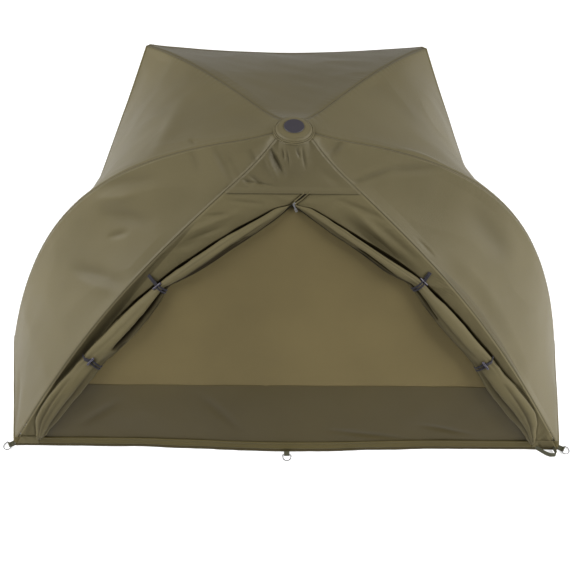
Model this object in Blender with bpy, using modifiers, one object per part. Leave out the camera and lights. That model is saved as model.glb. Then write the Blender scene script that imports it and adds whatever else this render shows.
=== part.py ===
"""Fishing umbrella: a six-rib block-hub brolly with a zipped rear door, standing open.

The world frame has +Z up and +Y out of the open front. Its origin lies on the ground
under the middle of the outline. All lengths are in metres. Left is -X, as seen by
someone behind the brolly, who looks at the rear door.
"""
from math import acos, atan2, cos, hypot, pi, radians, sin

import bmesh
import bpy
from mathutils import Matrix, Vector

# Fit and cloth
GAP = 0.0003
PLAY = 0.0004
FABRIC = 0.0016
INWARD = -1.0
OUTWARD = 1.0
WHOLE = 1.0
HALF = 0.5
THIRD = 1 / 3
GROUND_CLEAR = 0.0005
OVERRUN = 0.020

# Hub block, under the crown of the canopy
PIN_HEIGHT = 1.203
PIN_RADIUS_OUT = 0.055
PIN_RADIUS = 0.003
PIN_LENGTH = 0.018
BLOCK_RADIUS = 0.066
BLOCK_ABOVE_PIN = 0.024
BLOCK_BELOW_PIN = 0.016
PLATE_THICKNESS = 0.004
PLATE_RADIUS = 0.068
SLOT_INNER_RADIUS = 0.0395
COLLAR_RADIUS = 0.037
COLLAR_THICKNESS = 0.005
COLLAR_ABOVE_PIN = 0.0045
STEM_RADIUS = 0.010
BUTTON_RADIUS = 0.023
BUTTON_THICKNESS = 0.008
BUTTON_TRAVEL = 0.010
BUTTON_EDGE = 0.002
SPRING_WIRE_RADIUS = 0.0007
SPRING_RADIUS = 0.022
SPRING_TURNS = 4

# Crown cap over the hub
CAP_RADIUS = 0.080
CAP_HEIGHT = 0.032
CAP_WALL = 0.003
CAP_PIPING_RADIUS = 0.0035
CAP_BOSS_RADIUS = 0.012

# Rib knuckle
KNUCKLE_WIDTH = 0.012
KNUCKLE_BARREL_RADIUS = 0.0075
KNUCKLE_TAIL_LENGTH = 0.013
KNUCKLE_TAIL_HEIGHT = 0.008
ARM_LENGTH = 0.030
ARM_HEIGHT = 0.011
SOCKET_LENGTH = 0.034
SOCKET_RADIUS = 0.0095
SOCKET_FLOOR = 0.004

# Rib rod and its foot
ROD_RADIUS = 0.006
ROD_PLAY = 0.0007
FOOT_RADIUS = 0.010
FOOT_LENGTH = 0.032
FOOT_FLOOR = 0.005
FOOT_EDGE = 0.002

# Where the ribs reach
REAR_HALF_WIDTH = 1.250
HUB_SETBACK = 0.754
SIDE_REACH = 1.361
SIDE_AZIMUTH = radians(82.9)
FRONT_REACH = 1.278
FRONT_AZIMUTH = radians(146.4)
FRONT_TIP_HEIGHT = 0.865

# How the ribs arch: slope below level at each end, and how far each end's pull reaches
REAR_START_SLOPE = radians(31.0)
REAR_END_SLOPE = radians(54.4)
REAR_START_PULL = 0.660
REAR_END_PULL = 0.880
SIDE_START_SLOPE = radians(2.0)
SIDE_END_SLOPE = radians(74.4)
SIDE_START_PULL = 0.700
SIDE_END_PULL = 0.978
FRONT_START_SLOPE = radians(10.0)
FRONT_END_SLOPE = radians(24.0)
FRONT_START_PULL = 0.480
FRONT_END_PULL = 0.420

# Canopy between the ribs
BAND_HALF_WIDTH = 0.012
PANEL_GAP = 0.0003
JOIN_STRIP = 0.004
PANEL_SAG = 0.018
CROWN_FALL_REACH = 0.160
CROWN_STEEPNESS = 2.45
CROWN_LEDGE = 0.014
CROWN_HOLE_RADIUS = 0.030
HEM_GROUND_SHARE = 0.20
HEM_RISE_POWER = 1.25
FRONT_EDGE_SWEEP = 0.060
PANEL_COLUMN_SHARES = (0.5, 0.36, 0.18, 0.0)
UPPER_ROW_SHARES = (0.0, 0.12, 0.28, 0.50, 0.75, 1.0)
LOWER_ROW_SHARES = (0.0, 0.07, 0.14, 0.21, 0.28, 0.35, 0.42, 0.49, 0.56, 0.63, 0.70, 0.77, 0.84,
                    0.90, 0.95, 1.0)

# Rear door, by height above the ground on the sloping wall
DOOR_TOP_HEIGHT = 1.057
ZIP_HEAD_DROP = 0.0365
ZIP_FOOT_HEIGHT = DOOR_TOP_HEIGHT - ZIP_HEAD_DROP
MUD_FLAP_HEIGHT = 0.322
ZIP_LEAN = 0.055
ZIP_HALF_WIDTH = 0.006
ZIP_PROUD = 0.001
WALL_BULGE = 0.020
BULGE_HALF_SPAN = 0.800
HEM_FLANGE = 0.030
MESH_INSET = 0.006
SEAM_GAP_SHARE = 0.0009
MESH_TOP_INSET = 0.0064
SPAN_SHARE = 0.999
NORMAL_STEP_SHARE = 0.002
SAME_ROW_SHARE = 0.0001
PULLER_REACH_SHARE = 0.05

# Rolled door flaps: the stations run down the roll, as shares of the door's top height for the
# height, of the rear half width for its two edges, and of the roll's bulk for its thickness
ROLL_BULK = 0.046
ROLL_BEAD = 0.006
ROLL_BEAD_BULK = 0.003
ROLL_FOLD_DEPTH_SHARE = 0.13
ROLL_CREASE = 0.004
ELASTIC_THICKNESS = 0.002
ELASTIC_WIDTH = 0.014
ELASTIC_TAIL = 0.022
ELASTIC_LEAN_SHARE = 0.2
TIE_HEIGHT_SHARES = (0.717, 0.400)
ROLL_OUTLINE_POINTS = 12
ROLL_OUTLINE_START = radians(165.0)
ROLL_OUTLINE_SWEEP = radians(285.0)
ROLL_FOLD_COUNT = 3
ROLL_FOLD_TWIST = 9
ROLL_STATION_SHARES = {
    "left": (
        (0.932, 0.037, 0.102, 0.50),
        (0.899, 0.079, 0.162, 0.70),
        (0.851, 0.154, 0.250, 0.92),
        (0.757, 0.318, 0.393, 1.00),
        (0.717, 0.394, 0.432, 0.66),
        (0.653, 0.446, 0.526, 0.90),
        (0.615, 0.464, 0.550, 1.00),
        (0.520, 0.540, 0.634, 1.08),
        (0.400, 0.652, 0.684, 0.74),
        (0.284, 0.726, 0.796, 1.02),
        (0.189, 0.783, 0.860, 0.92),
        (0.095, 0.842, 0.915, 0.70),
        (0.040, 0.878, 0.946, 0.44),
    ),
    "right": (
        (0.932, 0.055, 0.106, 0.50),
        (0.899, 0.106, 0.162, 0.70),
        (0.851, 0.184, 0.242, 0.86),
        (0.757, 0.321, 0.400, 0.96),
        (0.717, 0.394, 0.432, 0.66),
        (0.653, 0.450, 0.526, 0.90),
        (0.615, 0.470, 0.551, 1.00),
        (0.520, 0.548, 0.633, 1.08),
        (0.400, 0.652, 0.684, 0.74),
        (0.284, 0.727, 0.794, 1.02),
        (0.189, 0.790, 0.860, 0.92),
        (0.095, 0.856, 0.915, 0.70),
        (0.040, 0.894, 0.948, 0.44),
    ),
}

# Toggles of the door ties
TOGGLE_RADIUS = 0.0048
TOGGLE_LENGTH = 0.046
TOGGLE_EDGE = 0.0016
TOGGLE_STANDOFF = 0.0117

# Peg points: a webbing tab with a wire ring at both rear corners and mid-hem
STRAP_WIDTH = 0.025
STRAP_THICKNESS = 0.0022
TAB_LENGTH = 0.024
RING_WIRE_RADIUS = 0.0021
RING_HALF_WIDTH = 0.0185
RING_DEPTH = 0.028
RING_BAR_PLAY = 0.0006

# Carrying loop at the right rear corner
LOOP_STRAP_THICKNESS = 0.0026

# Zip slider and its puller
SLIDER_HALF_WIDTH = 0.0045
SLIDER_LENGTH = 0.013
SLIDER_HEIGHT = 0.005
SLIDER_EDGE = 0.0006
PULLER_LENGTH = 0.034
PULLER_HALF_WIDTH = 0.0048
PULLER_THICKNESS = 0.0016
PULLER_EYE_RADIUS = 0.0018
PULLER_HOLE_SHARE = 0.82
PULLER_LEAN = radians(24.0)

# How finely round things are drawn
ROUND_SIDES = 20
SMALL_SIDES = 16
CAP_SIDES = 32
CAP_STEPS = 6
PIPING_STEPS = 4
ARC_STEPS = 8
TAB_STEPS = 12
RING_STEPS = 10
SPRING_STEPS = 9
ROD_POINTS = 23
WIRE_BEVEL_STEPS = 2
WELD_SHARE = 0.01
WELD = 0.00001
MERGE = 0.0001
SHARP_ANGLE = radians(35.0)
EDGE_ANGLE = radians(40.0)
SEARCH_STEPS = 60

MESH_LAYER = -(FABRIC + GAP)
ELASTIC_BACK = MESH_LAYER + GAP
ROLL_UNDERSIDE = ELASTIC_BACK + ELASTIC_THICKNESS + 2 * GAP
CANOPY_TOP = PIN_HEIGHT + BLOCK_ABOVE_PIN + GAP + PLATE_THICKNESS + GAP + FABRIC
ROD_DEPTH = FABRIC + GAP + FOOT_RADIUS


# The scene, its collections and its materials

def clear_scene():
    for old in list(bpy.data.objects):
        bpy.data.objects.remove(old, do_unlink=True)


def new_collection(name):
    made = bpy.data.collections.new(name)
    bpy.context.scene.collection.children.link(made)
    return made


def make_material(name, colour, roughness, metallic):
    made = bpy.data.materials.new(name)
    made.use_nodes = True
    shader = made.node_tree.nodes["Principled BSDF"]
    shader.inputs["Base Color"].default_value = (*colour, 1.0)
    shader.inputs["Roughness"].default_value = roughness
    shader.inputs["Metallic"].default_value = metallic
    made.diffuse_color = (*colour, 1.0)
    return made


def finish(obj, material, collection, smooth=False):
    obj.data.materials.clear()
    obj.data.materials.append(material)
    for other in list(obj.users_collection):
        other.objects.unlink(obj)
    collection.objects.link(obj)
    if smooth:
        obj.data.shade_smooth()
        obj.data.set_sharp_from_angle(angle=SHARP_ANGLE)
    return obj


def as_cutter(obj, collection):
    for other in list(obj.users_collection):
        other.objects.unlink(obj)
    collection.objects.link(obj)
    obj.hide_render = True
    obj.display_type = "WIRE"
    return obj


def object_from_bmesh(name, bm):
    mesh = bpy.data.meshes.new(name)
    bm.to_mesh(mesh)
    bm.free()
    made = bpy.data.objects.new(name, mesh)
    bpy.context.scene.collection.objects.link(made)
    return made


# Shapes

def box(name, low, high):
    bm = bmesh.new()
    low, high = Vector(low), Vector(high)
    size = high - low
    place = Matrix.Translation((low + high) / 2) @ Matrix.Diagonal((*size, WHOLE))
    bmesh.ops.create_cube(bm, size=WHOLE, matrix=place)
    return object_from_bmesh(name, bm)


def rod(name, radius, start, end, sides=ROUND_SIDES):
    start, end = Vector(start), Vector(end)
    turn = (end - start).to_track_quat("Z", "Y").to_matrix().to_4x4()
    place = Matrix.Translation((start + end) / 2) @ turn
    bm = bmesh.new()
    bmesh.ops.create_cone(bm, cap_ends=True, segments=sides, radius1=radius, radius2=radius,
                          depth=(end - start).length, matrix=place)
    return object_from_bmesh(name, bm)


def turned(name, profile, sides=ROUND_SIDES):
    """A solid turned about Z. The profile runs down the outer side, at +X, from axis to axis."""
    bm = bmesh.new()
    verts = [bm.verts.new((radius, 0.0, height)) for radius, height in profile]
    for upper, lower in zip(verts, verts[1:]):
        bm.edges.new((upper, lower))
    made = object_from_bmesh(name, bm)
    screw = made.modifiers.new("turn", "SCREW")
    screw.steps = sides
    screw.render_steps = sides
    screw.use_merge_vertices = True
    screw.merge_threshold = MERGE
    screw.use_smooth_shade = False
    return made


def face_outward(bm, outward):
    """Turns an open sheet over where its faces look away from the outward direction."""
    bm.normal_update()
    leaning = sum(face.normal.dot(outward(face.calc_center_median())) for face in bm.faces)
    if leaning < 0:
        bmesh.ops.reverse_faces(bm, faces=bm.faces)


def sheet(name, grid, outward, thickness, grow=INWARD):
    """Cloth on a grid of points (None where there is none), thickened in or out."""
    bm = bmesh.new()
    verts = [[None if p is None else bm.verts.new(p) for p in row] for row in grid]
    for row, below in zip(verts, verts[1:]):
        for i in range(len(row) - 1):
            corners = (row[i], row[i + 1], below[i + 1], below[i])
            if all(corners):
                bm.faces.new(corners)
    loose = [v for v in bm.verts if not v.link_faces]
    bmesh.ops.delete(bm, geom=loose, context="VERTS")
    face_outward(bm, outward)
    made = object_from_bmesh(name, bm)
    solid = made.modifiers.new("cloth", "SOLIDIFY")
    solid.thickness = thickness
    solid.offset = grow
    return made


def loft(name, rings):
    """A closed body through rings of the same number of points, with its ends filled."""
    bm = bmesh.new()
    loops = [[bm.verts.new(p) for p in ring] for ring in rings]
    for ring, below in zip(loops, loops[1:]):
        for i in range(len(ring)):
            j = (i + 1) % len(ring)
            bm.faces.new((ring[i], ring[j], below[j], below[i]))
    bm.faces.new(loops[0])
    bm.faces.new(list(reversed(loops[-1])))
    bmesh.ops.recalc_face_normals(bm, faces=bm.faces)
    return object_from_bmesh(name, bm)


def wire(name, points, radius, closed=False):
    """A round bar along points, as a mesh with its caps joined on."""
    data = bpy.data.curves.new(name, "CURVE")
    data.dimensions = "3D"
    data.bevel_depth = radius
    data.bevel_resolution = WIRE_BEVEL_STEPS
    data.use_fill_caps = True
    spline = data.splines.new("POLY")
    spline.points.add(len(points) - 1)
    for place, p in zip(spline.points, points):
        place.co = (*p, WHOLE)
    spline.use_cyclic_u = closed
    curve = bpy.data.objects.new(name, data)
    bpy.context.scene.collection.objects.link(curve)
    graph = bpy.context.evaluated_depsgraph_get()
    mesh = bpy.data.meshes.new_from_object(curve.evaluated_get(graph))
    bm = bmesh.new()
    bm.from_mesh(mesh)
    bmesh.ops.remove_doubles(bm, verts=bm.verts, dist=radius * WELD_SHARE)
    bm.to_mesh(mesh)
    bm.free()
    made = bpy.data.objects.new(name, mesh)
    made.matrix_world = curve.matrix_world
    bpy.context.scene.collection.objects.link(made)
    bpy.data.objects.remove(curve, do_unlink=True)
    made.name = name
    return made


def combine(obj, other, operation):
    boolean = obj.modifiers.new(operation.lower(), "BOOLEAN")
    boolean.operation = operation
    boolean.object = other
    boolean.solver = "EXACT"


def soften(obj, width, segments):
    bevel = obj.modifiers.new("edges", "BEVEL")
    bevel.width = width
    bevel.segments = segments
    bevel.limit_method = "ANGLE"
    bevel.angle_limit = EDGE_ANGLE


# Rib lines. Each rib lies in an upright plane through the hub's axis; (r, z) are the distance
# from that axis and the height.

def find_share(measure, target, low=0.0, high=WHOLE):
    """The share between low and high at which a falling measure reaches the target."""
    for _ in range(SEARCH_STEPS):
        middle = (low + high) / 2
        if measure(middle) > target:
            low = middle
        else:
            high = middle
    return (low + high) / 2


class Rib:
    def __init__(self, name, side, azimuth, reach, start_slope, end_slope, pulls, end_height=None):
        self.name, self.side, self.reach = name, side, reach
        self.azimuth, self.start_slope, self.end_slope = azimuth, start_slope, end_slope
        self.out = Vector((side * sin(azimuth), -cos(azimuth), 0.0))
        self.across = Vector((-self.out.y, self.out.x, 0.0))
        self.pin = Vector((PIN_RADIUS_OUT, PIN_HEIGHT))
        self.arm_end = self.pin + ARM_LENGTH * Vector((cos(start_slope), -sin(start_slope)))
        start = self.arm_end + ROD_DEPTH * Vector((sin(start_slope), cos(start_slope)))
        self.on_ground = end_height is None
        if self.on_ground:
            end_height = FABRIC * cos(end_slope) + GROUND_CLEAR
        end = Vector((reach, end_height))
        first = start + pulls[0] * Vector((cos(start_slope), -sin(start_slope)))
        second = end - pulls[1] * Vector((cos(end_slope), -sin(end_slope)))
        self.cage = (start, first, second, end)
        self.crown_lift = CANOPY_TOP - start.y

    def line(self, t):
        a, b, c, d = self.cage
        s = 1 - t
        return a * s**3 + b * (3 * s * s * t) + c * (3 * s * t * t) + d * t**3

    def normal(self, t):
        a, b, c, d = self.cage
        s = 1 - t
        along = (b - a) * (3 * s * s) + (c - b) * (6 * s * t) + (d - c) * (3 * t * t)
        along.normalize()
        return Vector((-along.y, along.x))

    def seam(self, t):
        """The canopy's outer face over the rib, lifted near the hub."""
        p = self.line(t)
        share = max(0.0, 1 - (p.x - self.cage[0].x) / CROWN_FALL_REACH)
        return Vector((p.x, p.y + self.crown_lift * share * share))

    def rod_centre(self, t):
        return self.line(t) - self.normal(t) * ROD_DEPTH

    def place(self, rz, aside=0.0):
        return self.out * rz.x + self.across * aside + Vector((0.0, 0.0, rz.y))

    def outward(self, t):
        n = self.normal(t)
        return self.out * n.x + Vector((0.0, 0.0, n.y))

    def toward(self, other):
        """+1 or -1: on which side of this rib the other one stands."""
        return 1 if other.out.dot(self.across) > 0 else -1

    def band_edge(self, t, other):
        return self.place(self.seam(t), self.toward(other) * BAND_HALF_WIDTH)


def make_ribs():
    ribs = {}
    rear_azimuth = atan2(REAR_HALF_WIDTH, HUB_SETBACK)
    rear_reach = hypot(REAR_HALF_WIDTH, HUB_SETBACK)
    for word, side in (("left", -1), ("right", 1)):
        ribs["rear_" + word] = Rib("rear_" + word, side, rear_azimuth, rear_reach, REAR_START_SLOPE,
                                   REAR_END_SLOPE, (REAR_START_PULL, REAR_END_PULL))
        ribs["side_" + word] = Rib("side_" + word, side, SIDE_AZIMUTH, SIDE_REACH, SIDE_START_SLOPE,
                                   SIDE_END_SLOPE, (SIDE_START_PULL, SIDE_END_PULL))
        ribs["front_" + word] = Rib("front_" + word, side, FRONT_AZIMUTH, FRONT_REACH,
                                    FRONT_START_SLOPE, FRONT_END_SLOPE,
                                    (FRONT_START_PULL, FRONT_END_PULL), FRONT_TIP_HEIGHT)
    return ribs


RIBS = make_ribs()
REAR = RIBS["rear_left"]
DOOR_TOP = find_share(lambda t: REAR.seam(t).y, DOOR_TOP_HEIGHT)
ROWS = tuple(share * DOOR_TOP for share in UPPER_ROW_SHARES) + tuple(
    DOOR_TOP + share * (1 - DOOR_TOP) for share in LOWER_ROW_SHARES[1:])


# The canopy's faces

def over_crown(p):
    """Lifts cloth that would sink into the hub: it drapes from the crown like a cone."""
    distance = hypot(p.x, p.y)
    floor = CANOPY_TOP - CROWN_STEEPNESS * max(0.0, distance - PLATE_RADIUS - CROWN_LEDGE)
    return Vector((p.x, p.y, max(p.z, floor)))


def hem_rise(share):
    """Height of the front-side hem over the ground, as a share of the front tip's height."""
    s = max(0.0, (share - HEM_GROUND_SHARE) / (1 - HEM_GROUND_SHARE))
    return s**HEM_RISE_POWER


def panel_point(first, second, t, share):
    """A point of the cloth between two ribs, share 0 at the first rib's band and 1 at the other's."""
    a, b = first.band_edge(t, second), second.band_edge(t, first)
    p = a.lerp(b, share)
    outward = first.outward(t).lerp(second.outward(t), share).normalized()
    across = 4 * share * (1 - share)
    p -= outward * (PANEL_SAG * across * 4 * t * (1 - t))
    ends = {first.on_ground, second.on_ground}
    if ends == {True, False}:
        from_ground = share if first.on_ground else 1 - share
        straight = a.z + (b.z - a.z) * share
        p.z += (hem_rise(from_ground) * FRONT_TIP_HEIGHT - from_ground * FRONT_TIP_HEIGHT) * t**4
        p.z = max(p.z, min(straight, first.seam(1).y if first.on_ground else second.seam(1).y))
    if ends == {False}:
        back = (first.out + second.out).normalized()
        p -= back * (FRONT_EDGE_SWEEP * across * t**3)
    return over_crown(p)


def panel_columns(rib, other, t):
    """Points from the middle of a panel to the band of the rib that carries this half."""
    row = [panel_point(rib, other, t, share) for share in PANEL_COLUMN_SHARES]
    aside = (rib.band_edge(t, other) - other.band_edge(t, rib)).normalized()
    middle = row[0]
    join = min(JOIN_STRIP, (row[1] - middle).length / 2)
    return [middle + aside * PANEL_GAP, middle + aside * join, *row[1:]]


def crown_columns(rib, other):
    """The cloth's inner edge under the cap, from the middle of a panel to the rib's band."""
    towards = (rib.out + other.out).normalized()
    aside = rib.out - towards * rib.out.dot(towards)
    spread = aside.length * CROWN_HOLE_RADIUS
    aside.normalize()
    top = Vector((0.0, 0.0, CANOPY_TOP))
    middle = towards * CROWN_HOLE_RADIUS + top
    band = rib.out * CROWN_HOLE_RADIUS + top
    band += rib.across * (rib.toward(other) * min(BAND_HALF_WIDTH, spread / 2))
    near = middle + aside * min(JOIN_STRIP, spread / 6)
    return [middle + aside * PANEL_GAP, near, near.lerp(band, THIRD), near.lerp(band, 2 * THIRD),
            band]


def wall_edge(rib, t):
    """Where the door wall meets the rear rib's band, on the straight runs between the rows."""
    for upper, lower in zip(ROWS, ROWS[1:]):
        if t <= lower:
            break
    other = RIBS["rear_right" if rib.side < 0 else "rear_left"]
    share = (t - upper) / (lower - upper)
    a, b = rib.band_edge(upper, other), rib.band_edge(lower, other)
    return a.lerp(b, share)


def wall_normal(t):
    """Out of the sloping door wall: the rear rib's slope, seen from the side."""
    step = NORMAL_STEP_SHARE
    a, b = wall_edge(REAR, max(0.0, t - step)), wall_edge(REAR, min(WHOLE, t + step))
    fall = Vector((0.0, b.y - a.y, b.z - a.z)).normalized()
    return Vector((0.0, fall.z, -fall.y))


def wall_share(height):
    return find_share(lambda t: wall_edge(REAR, t).z, height)


MUD_TOP = wall_share(MUD_FLAP_HEIGHT)


def wall_point(side, t, across, layer=0.0):
    """A point of the door wall; across is the distance from the middle toward that side."""
    rib = RIBS["rear_left" if side < 0 else "rear_right"]
    edge = wall_edge(rib, t)
    low = max(0.0, (t - MUD_TOP) / (1 - MUD_TOP))
    bulge = WALL_BULGE * low * max(0.0, 1 - abs(across) / BULGE_HALF_SPAN)
    return Vector((side * across, edge.y - bulge, edge.z)) + wall_normal(t) * layer


def rows_between(top, bottom, extra=()):
    inner = [t for t in (*ROWS, *extra) if top + SAME_ROW_SHARE < t < bottom - SAME_ROW_SHARE]
    return sorted({top, bottom, *inner})


# Building the sub-parts

class Maker:
    """Keeps the two collections, the frame empty and the materials together."""

    def __init__(self):
        self.parts = new_collection("fishing_umbrella")
        self.cutters = new_collection("cutters")
        self.frame = bpy.data.objects.new("ground_frame", None)
        self.parts.objects.link(self.frame)
        self.pivots = {}
        self.canopy = make_material("canopy_cloth", (0.130, 0.112, 0.066), 0.62, 0.0)
        self.mesh = make_material("window_mesh", (0.150, 0.122, 0.058), 0.80, 0.0)
        self.mud = make_material("mud_flap_cloth", (0.072, 0.062, 0.034), 0.55, 0.0)
        self.strap = make_material("webbing", (0.062, 0.060, 0.036), 0.85, 0.0)
        self.plastic = make_material("dark_plastic", (0.020, 0.018, 0.026), 0.45, 0.0)
        self.rubber = make_material("foot_rubber", (0.030, 0.030, 0.028), 0.75, 0.0)
        self.alloy = make_material("bright_metal", (0.550, 0.550, 0.560), 0.32, 1.0)
        self.rod = make_material("rib_rod_green", (0.045, 0.048, 0.030), 0.40, 0.0)

    def pivot(self, name, place, parent=None):
        made = bpy.data.objects.new("pivot_" + name, None)
        self.parts.objects.link(made)
        made.parent = parent or self.frame
        made.location = Vector(place) - (Vector(parent["at"]) if parent else Vector())
        made["at"] = tuple(place)
        self.pivots[name] = made
        return made

    def add(self, obj, material, pivot=None, smooth=False):
        """Files a sub-part and hangs it on its joint's pivot without moving it."""
        finish(obj, material, self.parts, smooth)
        parent = pivot or self.frame
        obj.parent = parent
        if pivot:
            obj.matrix_parent_inverse = Matrix.Translation(-Vector(pivot["at"]))
        return obj

    def cutter(self, obj):
        as_cutter(obj, self.cutters)
        obj.parent = self.frame
        return obj


def rib_frame(rib, height):
    """A matrix whose X runs out along the rib's plane and whose Z stays up."""
    turn = Matrix((rib.out, rib.across, (0.0, 0.0, 1.0))).transposed().to_4x4()
    return Matrix.Translation((0.0, 0.0, height)) @ turn


def make_hub_block(maker):
    top, bottom = PIN_HEIGHT + BLOCK_ABOVE_PIN, PIN_HEIGHT - BLOCK_BELOW_PIN
    seat = PIN_HEIGHT + COLLAR_ABOVE_PIN - GAP
    bore, throat = COLLAR_RADIUS + PLAY, STEM_RADIUS + PLAY
    profile = ((bore, top), (BLOCK_RADIUS, top), (BLOCK_RADIUS, bottom), (throat, bottom),
               (throat, seat), (bore, seat), (bore, top))
    block = turned("hub_block", profile)
    for rib in RIBS.values():
        half = KNUCKLE_WIDTH / 2 + PLAY
        slot = box("cut_slot_" + rib.name, (SLOT_INNER_RADIUS, -half, -BLOCK_BELOW_PIN - OVERRUN),
                   (BLOCK_RADIUS + OVERRUN, half, BLOCK_ABOVE_PIN + OVERRUN))
        slot.data.transform(rib_frame(rib, PIN_HEIGHT))
        combine(block, maker.cutter(slot), "DIFFERENCE")
        reach = PIN_LENGTH / 2 + GAP
        hole = rod("cut_pin_" + rib.name, PIN_RADIUS + GAP, (PIN_RADIUS_OUT, -reach, 0.0),
                   (PIN_RADIUS_OUT, reach, 0.0), sides=SMALL_SIDES)
        hole.data.transform(rib_frame(rib, PIN_HEIGHT))
        combine(block, maker.cutter(hole), "DIFFERENCE")
    maker.add(block, maker.plastic)
    plate_low = top + GAP
    plate = turned("hub_top_plate", ((0.0, plate_low + PLATE_THICKNESS),
                                     (PLATE_RADIUS, plate_low + PLATE_THICKNESS),
                                     (PLATE_RADIUS, plate_low), (0.0, plate_low)))
    maker.add(plate, maker.alloy)


def make_hinge_pins(maker):
    for rib in RIBS.values():
        half = PIN_LENGTH / 2
        pin = rod("hinge_pin_" + rib.name, PIN_RADIUS, (PIN_RADIUS_OUT, -half, 0.0),
                  (PIN_RADIUS_OUT, half, 0.0), sides=SMALL_SIDES)
        pin.data.transform(rib_frame(rib, PIN_HEIGHT))
        maker.add(pin, maker.alloy)


def make_crown_cap(maker):
    low = CANOPY_TOP + GAP
    boss_low = CANOPY_TOP - FABRIC
    dome_radius = CAP_RADIUS - 2 * CAP_PIPING_RADIUS
    skirt_top = low + 2 * CAP_PIPING_RADIUS
    rise = CAP_HEIGHT - 2 * CAP_PIPING_RADIUS
    profile = []
    steps = CAP_STEPS
    for i in range(steps):
        angle = i / steps * pi / 2
        profile.append((dome_radius * sin(angle), skirt_top + rise * cos(angle)))
    profile[0] = (0.0, skirt_top + rise)
    profile.append((dome_radius, skirt_top))
    for i in range(PIPING_STEPS + 1):
        angle = pi / 2 - i / PIPING_STEPS * pi
        profile.append((CAP_RADIUS - CAP_PIPING_RADIUS + CAP_PIPING_RADIUS * cos(angle),
                        low + CAP_PIPING_RADIUS + CAP_PIPING_RADIUS * sin(angle)))
    inner = dome_radius - CAP_WALL
    profile.append((inner, low))
    for i in range(1, steps):
        angle = pi / 2 * (1 - i / steps)
        radius = inner * sin(angle)
        if radius > CAP_BOSS_RADIUS:
            profile.append((radius, skirt_top + (rise - CAP_WALL) * cos(angle)))
    profile.append((CAP_BOSS_RADIUS, skirt_top + rise - CAP_WALL))
    profile.append((CAP_BOSS_RADIUS, boss_low))
    profile.append((0.0, boss_low))
    maker.add(turned("crown_cap", profile, sides=CAP_SIDES), maker.canopy, smooth=True)


def make_release(maker):
    """The push-up lock release: a collar on a stem inside the hub, its spring and its button."""
    seat = PIN_HEIGHT + COLLAR_ABOVE_PIN
    collar_top = seat + COLLAR_THICKNESS
    stem_low = PIN_HEIGHT - BLOCK_BELOW_PIN - BUTTON_TRAVEL - PLAY
    pivot = maker.pivot("release", (0.0, 0.0, seat))
    plunger = turned("lock_plunger", ((0.0, collar_top), (COLLAR_RADIUS, collar_top),
                                      (COLLAR_RADIUS, seat), (STEM_RADIUS, seat),
                                      (STEM_RADIUS, stem_low), (0.0, stem_low)))
    maker.add(plunger, maker.alloy, pivot)
    top = stem_low - GAP
    button = turned("release_button", ((0.0, top), (BUTTON_RADIUS, top),
                                       (BUTTON_RADIUS, top - BUTTON_THICKNESS + BUTTON_EDGE),
                                       (BUTTON_RADIUS - BUTTON_EDGE, top - BUTTON_THICKNESS),
                                       (0.0, top - BUTTON_THICKNESS)))
    maker.add(button, maker.plastic, pivot)
    low = collar_top + SPRING_WIRE_RADIUS + GAP
    high = PIN_HEIGHT + BLOCK_ABOVE_PIN - SPRING_WIRE_RADIUS
    points = []
    per_turn = SPRING_STEPS
    count = SPRING_TURNS * per_turn
    for i in range(count + 1):
        angle = 2 * pi * i / per_turn
        points.append((SPRING_RADIUS * cos(angle), SPRING_RADIUS * sin(angle),
                       low + (high - low) * i / count))
    maker.add(wire("lock_spring", points, SPRING_WIRE_RADIUS), maker.alloy)


def arc_points(radius, start, end, steps=ARC_STEPS):
    """Points (x, z) of an arc about the origin, both ends with it."""
    angles = [start + (end - start) * i / steps for i in range(steps + 1)]
    return [(radius * cos(angle), radius * sin(angle)) for angle in angles]


def make_knuckle(maker, rib, pivot):
    half = KNUCKLE_WIDTH / 2
    barrel, tail, arm = KNUCKLE_BARREL_RADIUS, KNUCKLE_TAIL_HEIGHT / 2, ARM_HEIGHT / 2
    arm_end = ARM_LENGTH + SOCKET_FLOOR / 2
    outline = [(arm_end, arm), (arm_end, -arm)]
    outline += arc_points(barrel, -acos((barrel**2 - arm**2)**0.5 / barrel),
                          -pi + acos((barrel**2 - tail**2)**0.5 / barrel))
    outline += [(-KNUCKLE_TAIL_LENGTH, -tail), (-KNUCKLE_TAIL_LENGTH, tail)]
    outline += arc_points(barrel, pi - acos((barrel**2 - tail**2)**0.5 / barrel),
                          acos((barrel**2 - arm**2)**0.5 / barrel))
    body = loft("rib_knuckle_" + rib.name, [[Vector((x, y, z)) for x, z in outline]
                                            for y in (-half, half)])
    socket = rod("add_socket_" + rib.name, SOCKET_RADIUS, (ARM_LENGTH, 0.0, 0.0),
                 (ARM_LENGTH + SOCKET_LENGTH, 0.0, 0.0))
    bore = rod("cut_bore_" + rib.name, ROD_RADIUS + ROD_PLAY, (ARM_LENGTH + SOCKET_FLOOR, 0.0, 0.0),
               (ARM_LENGTH + SOCKET_LENGTH + OVERRUN, 0.0, 0.0))
    hole = rod("cut_eye_" + rib.name, PIN_RADIUS + GAP, (0.0, -half - OVERRUN, 0.0),
               (0.0, half + OVERRUN, 0.0), sides=SMALL_SIDES)
    lean = Matrix.Rotation(rib.start_slope, 4, "Y")
    place = rib_frame(rib, PIN_HEIGHT) @ Matrix.Translation((PIN_RADIUS_OUT, 0.0, 0.0)) @ lean
    for obj in (body, socket, bore, hole):
        obj.data.transform(place)
    combine(body, maker.cutter(socket), "UNION")
    for cut in (bore, hole):
        combine(body, maker.cutter(cut), "DIFFERENCE")
    maker.add(body, maker.plastic, pivot)


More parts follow.
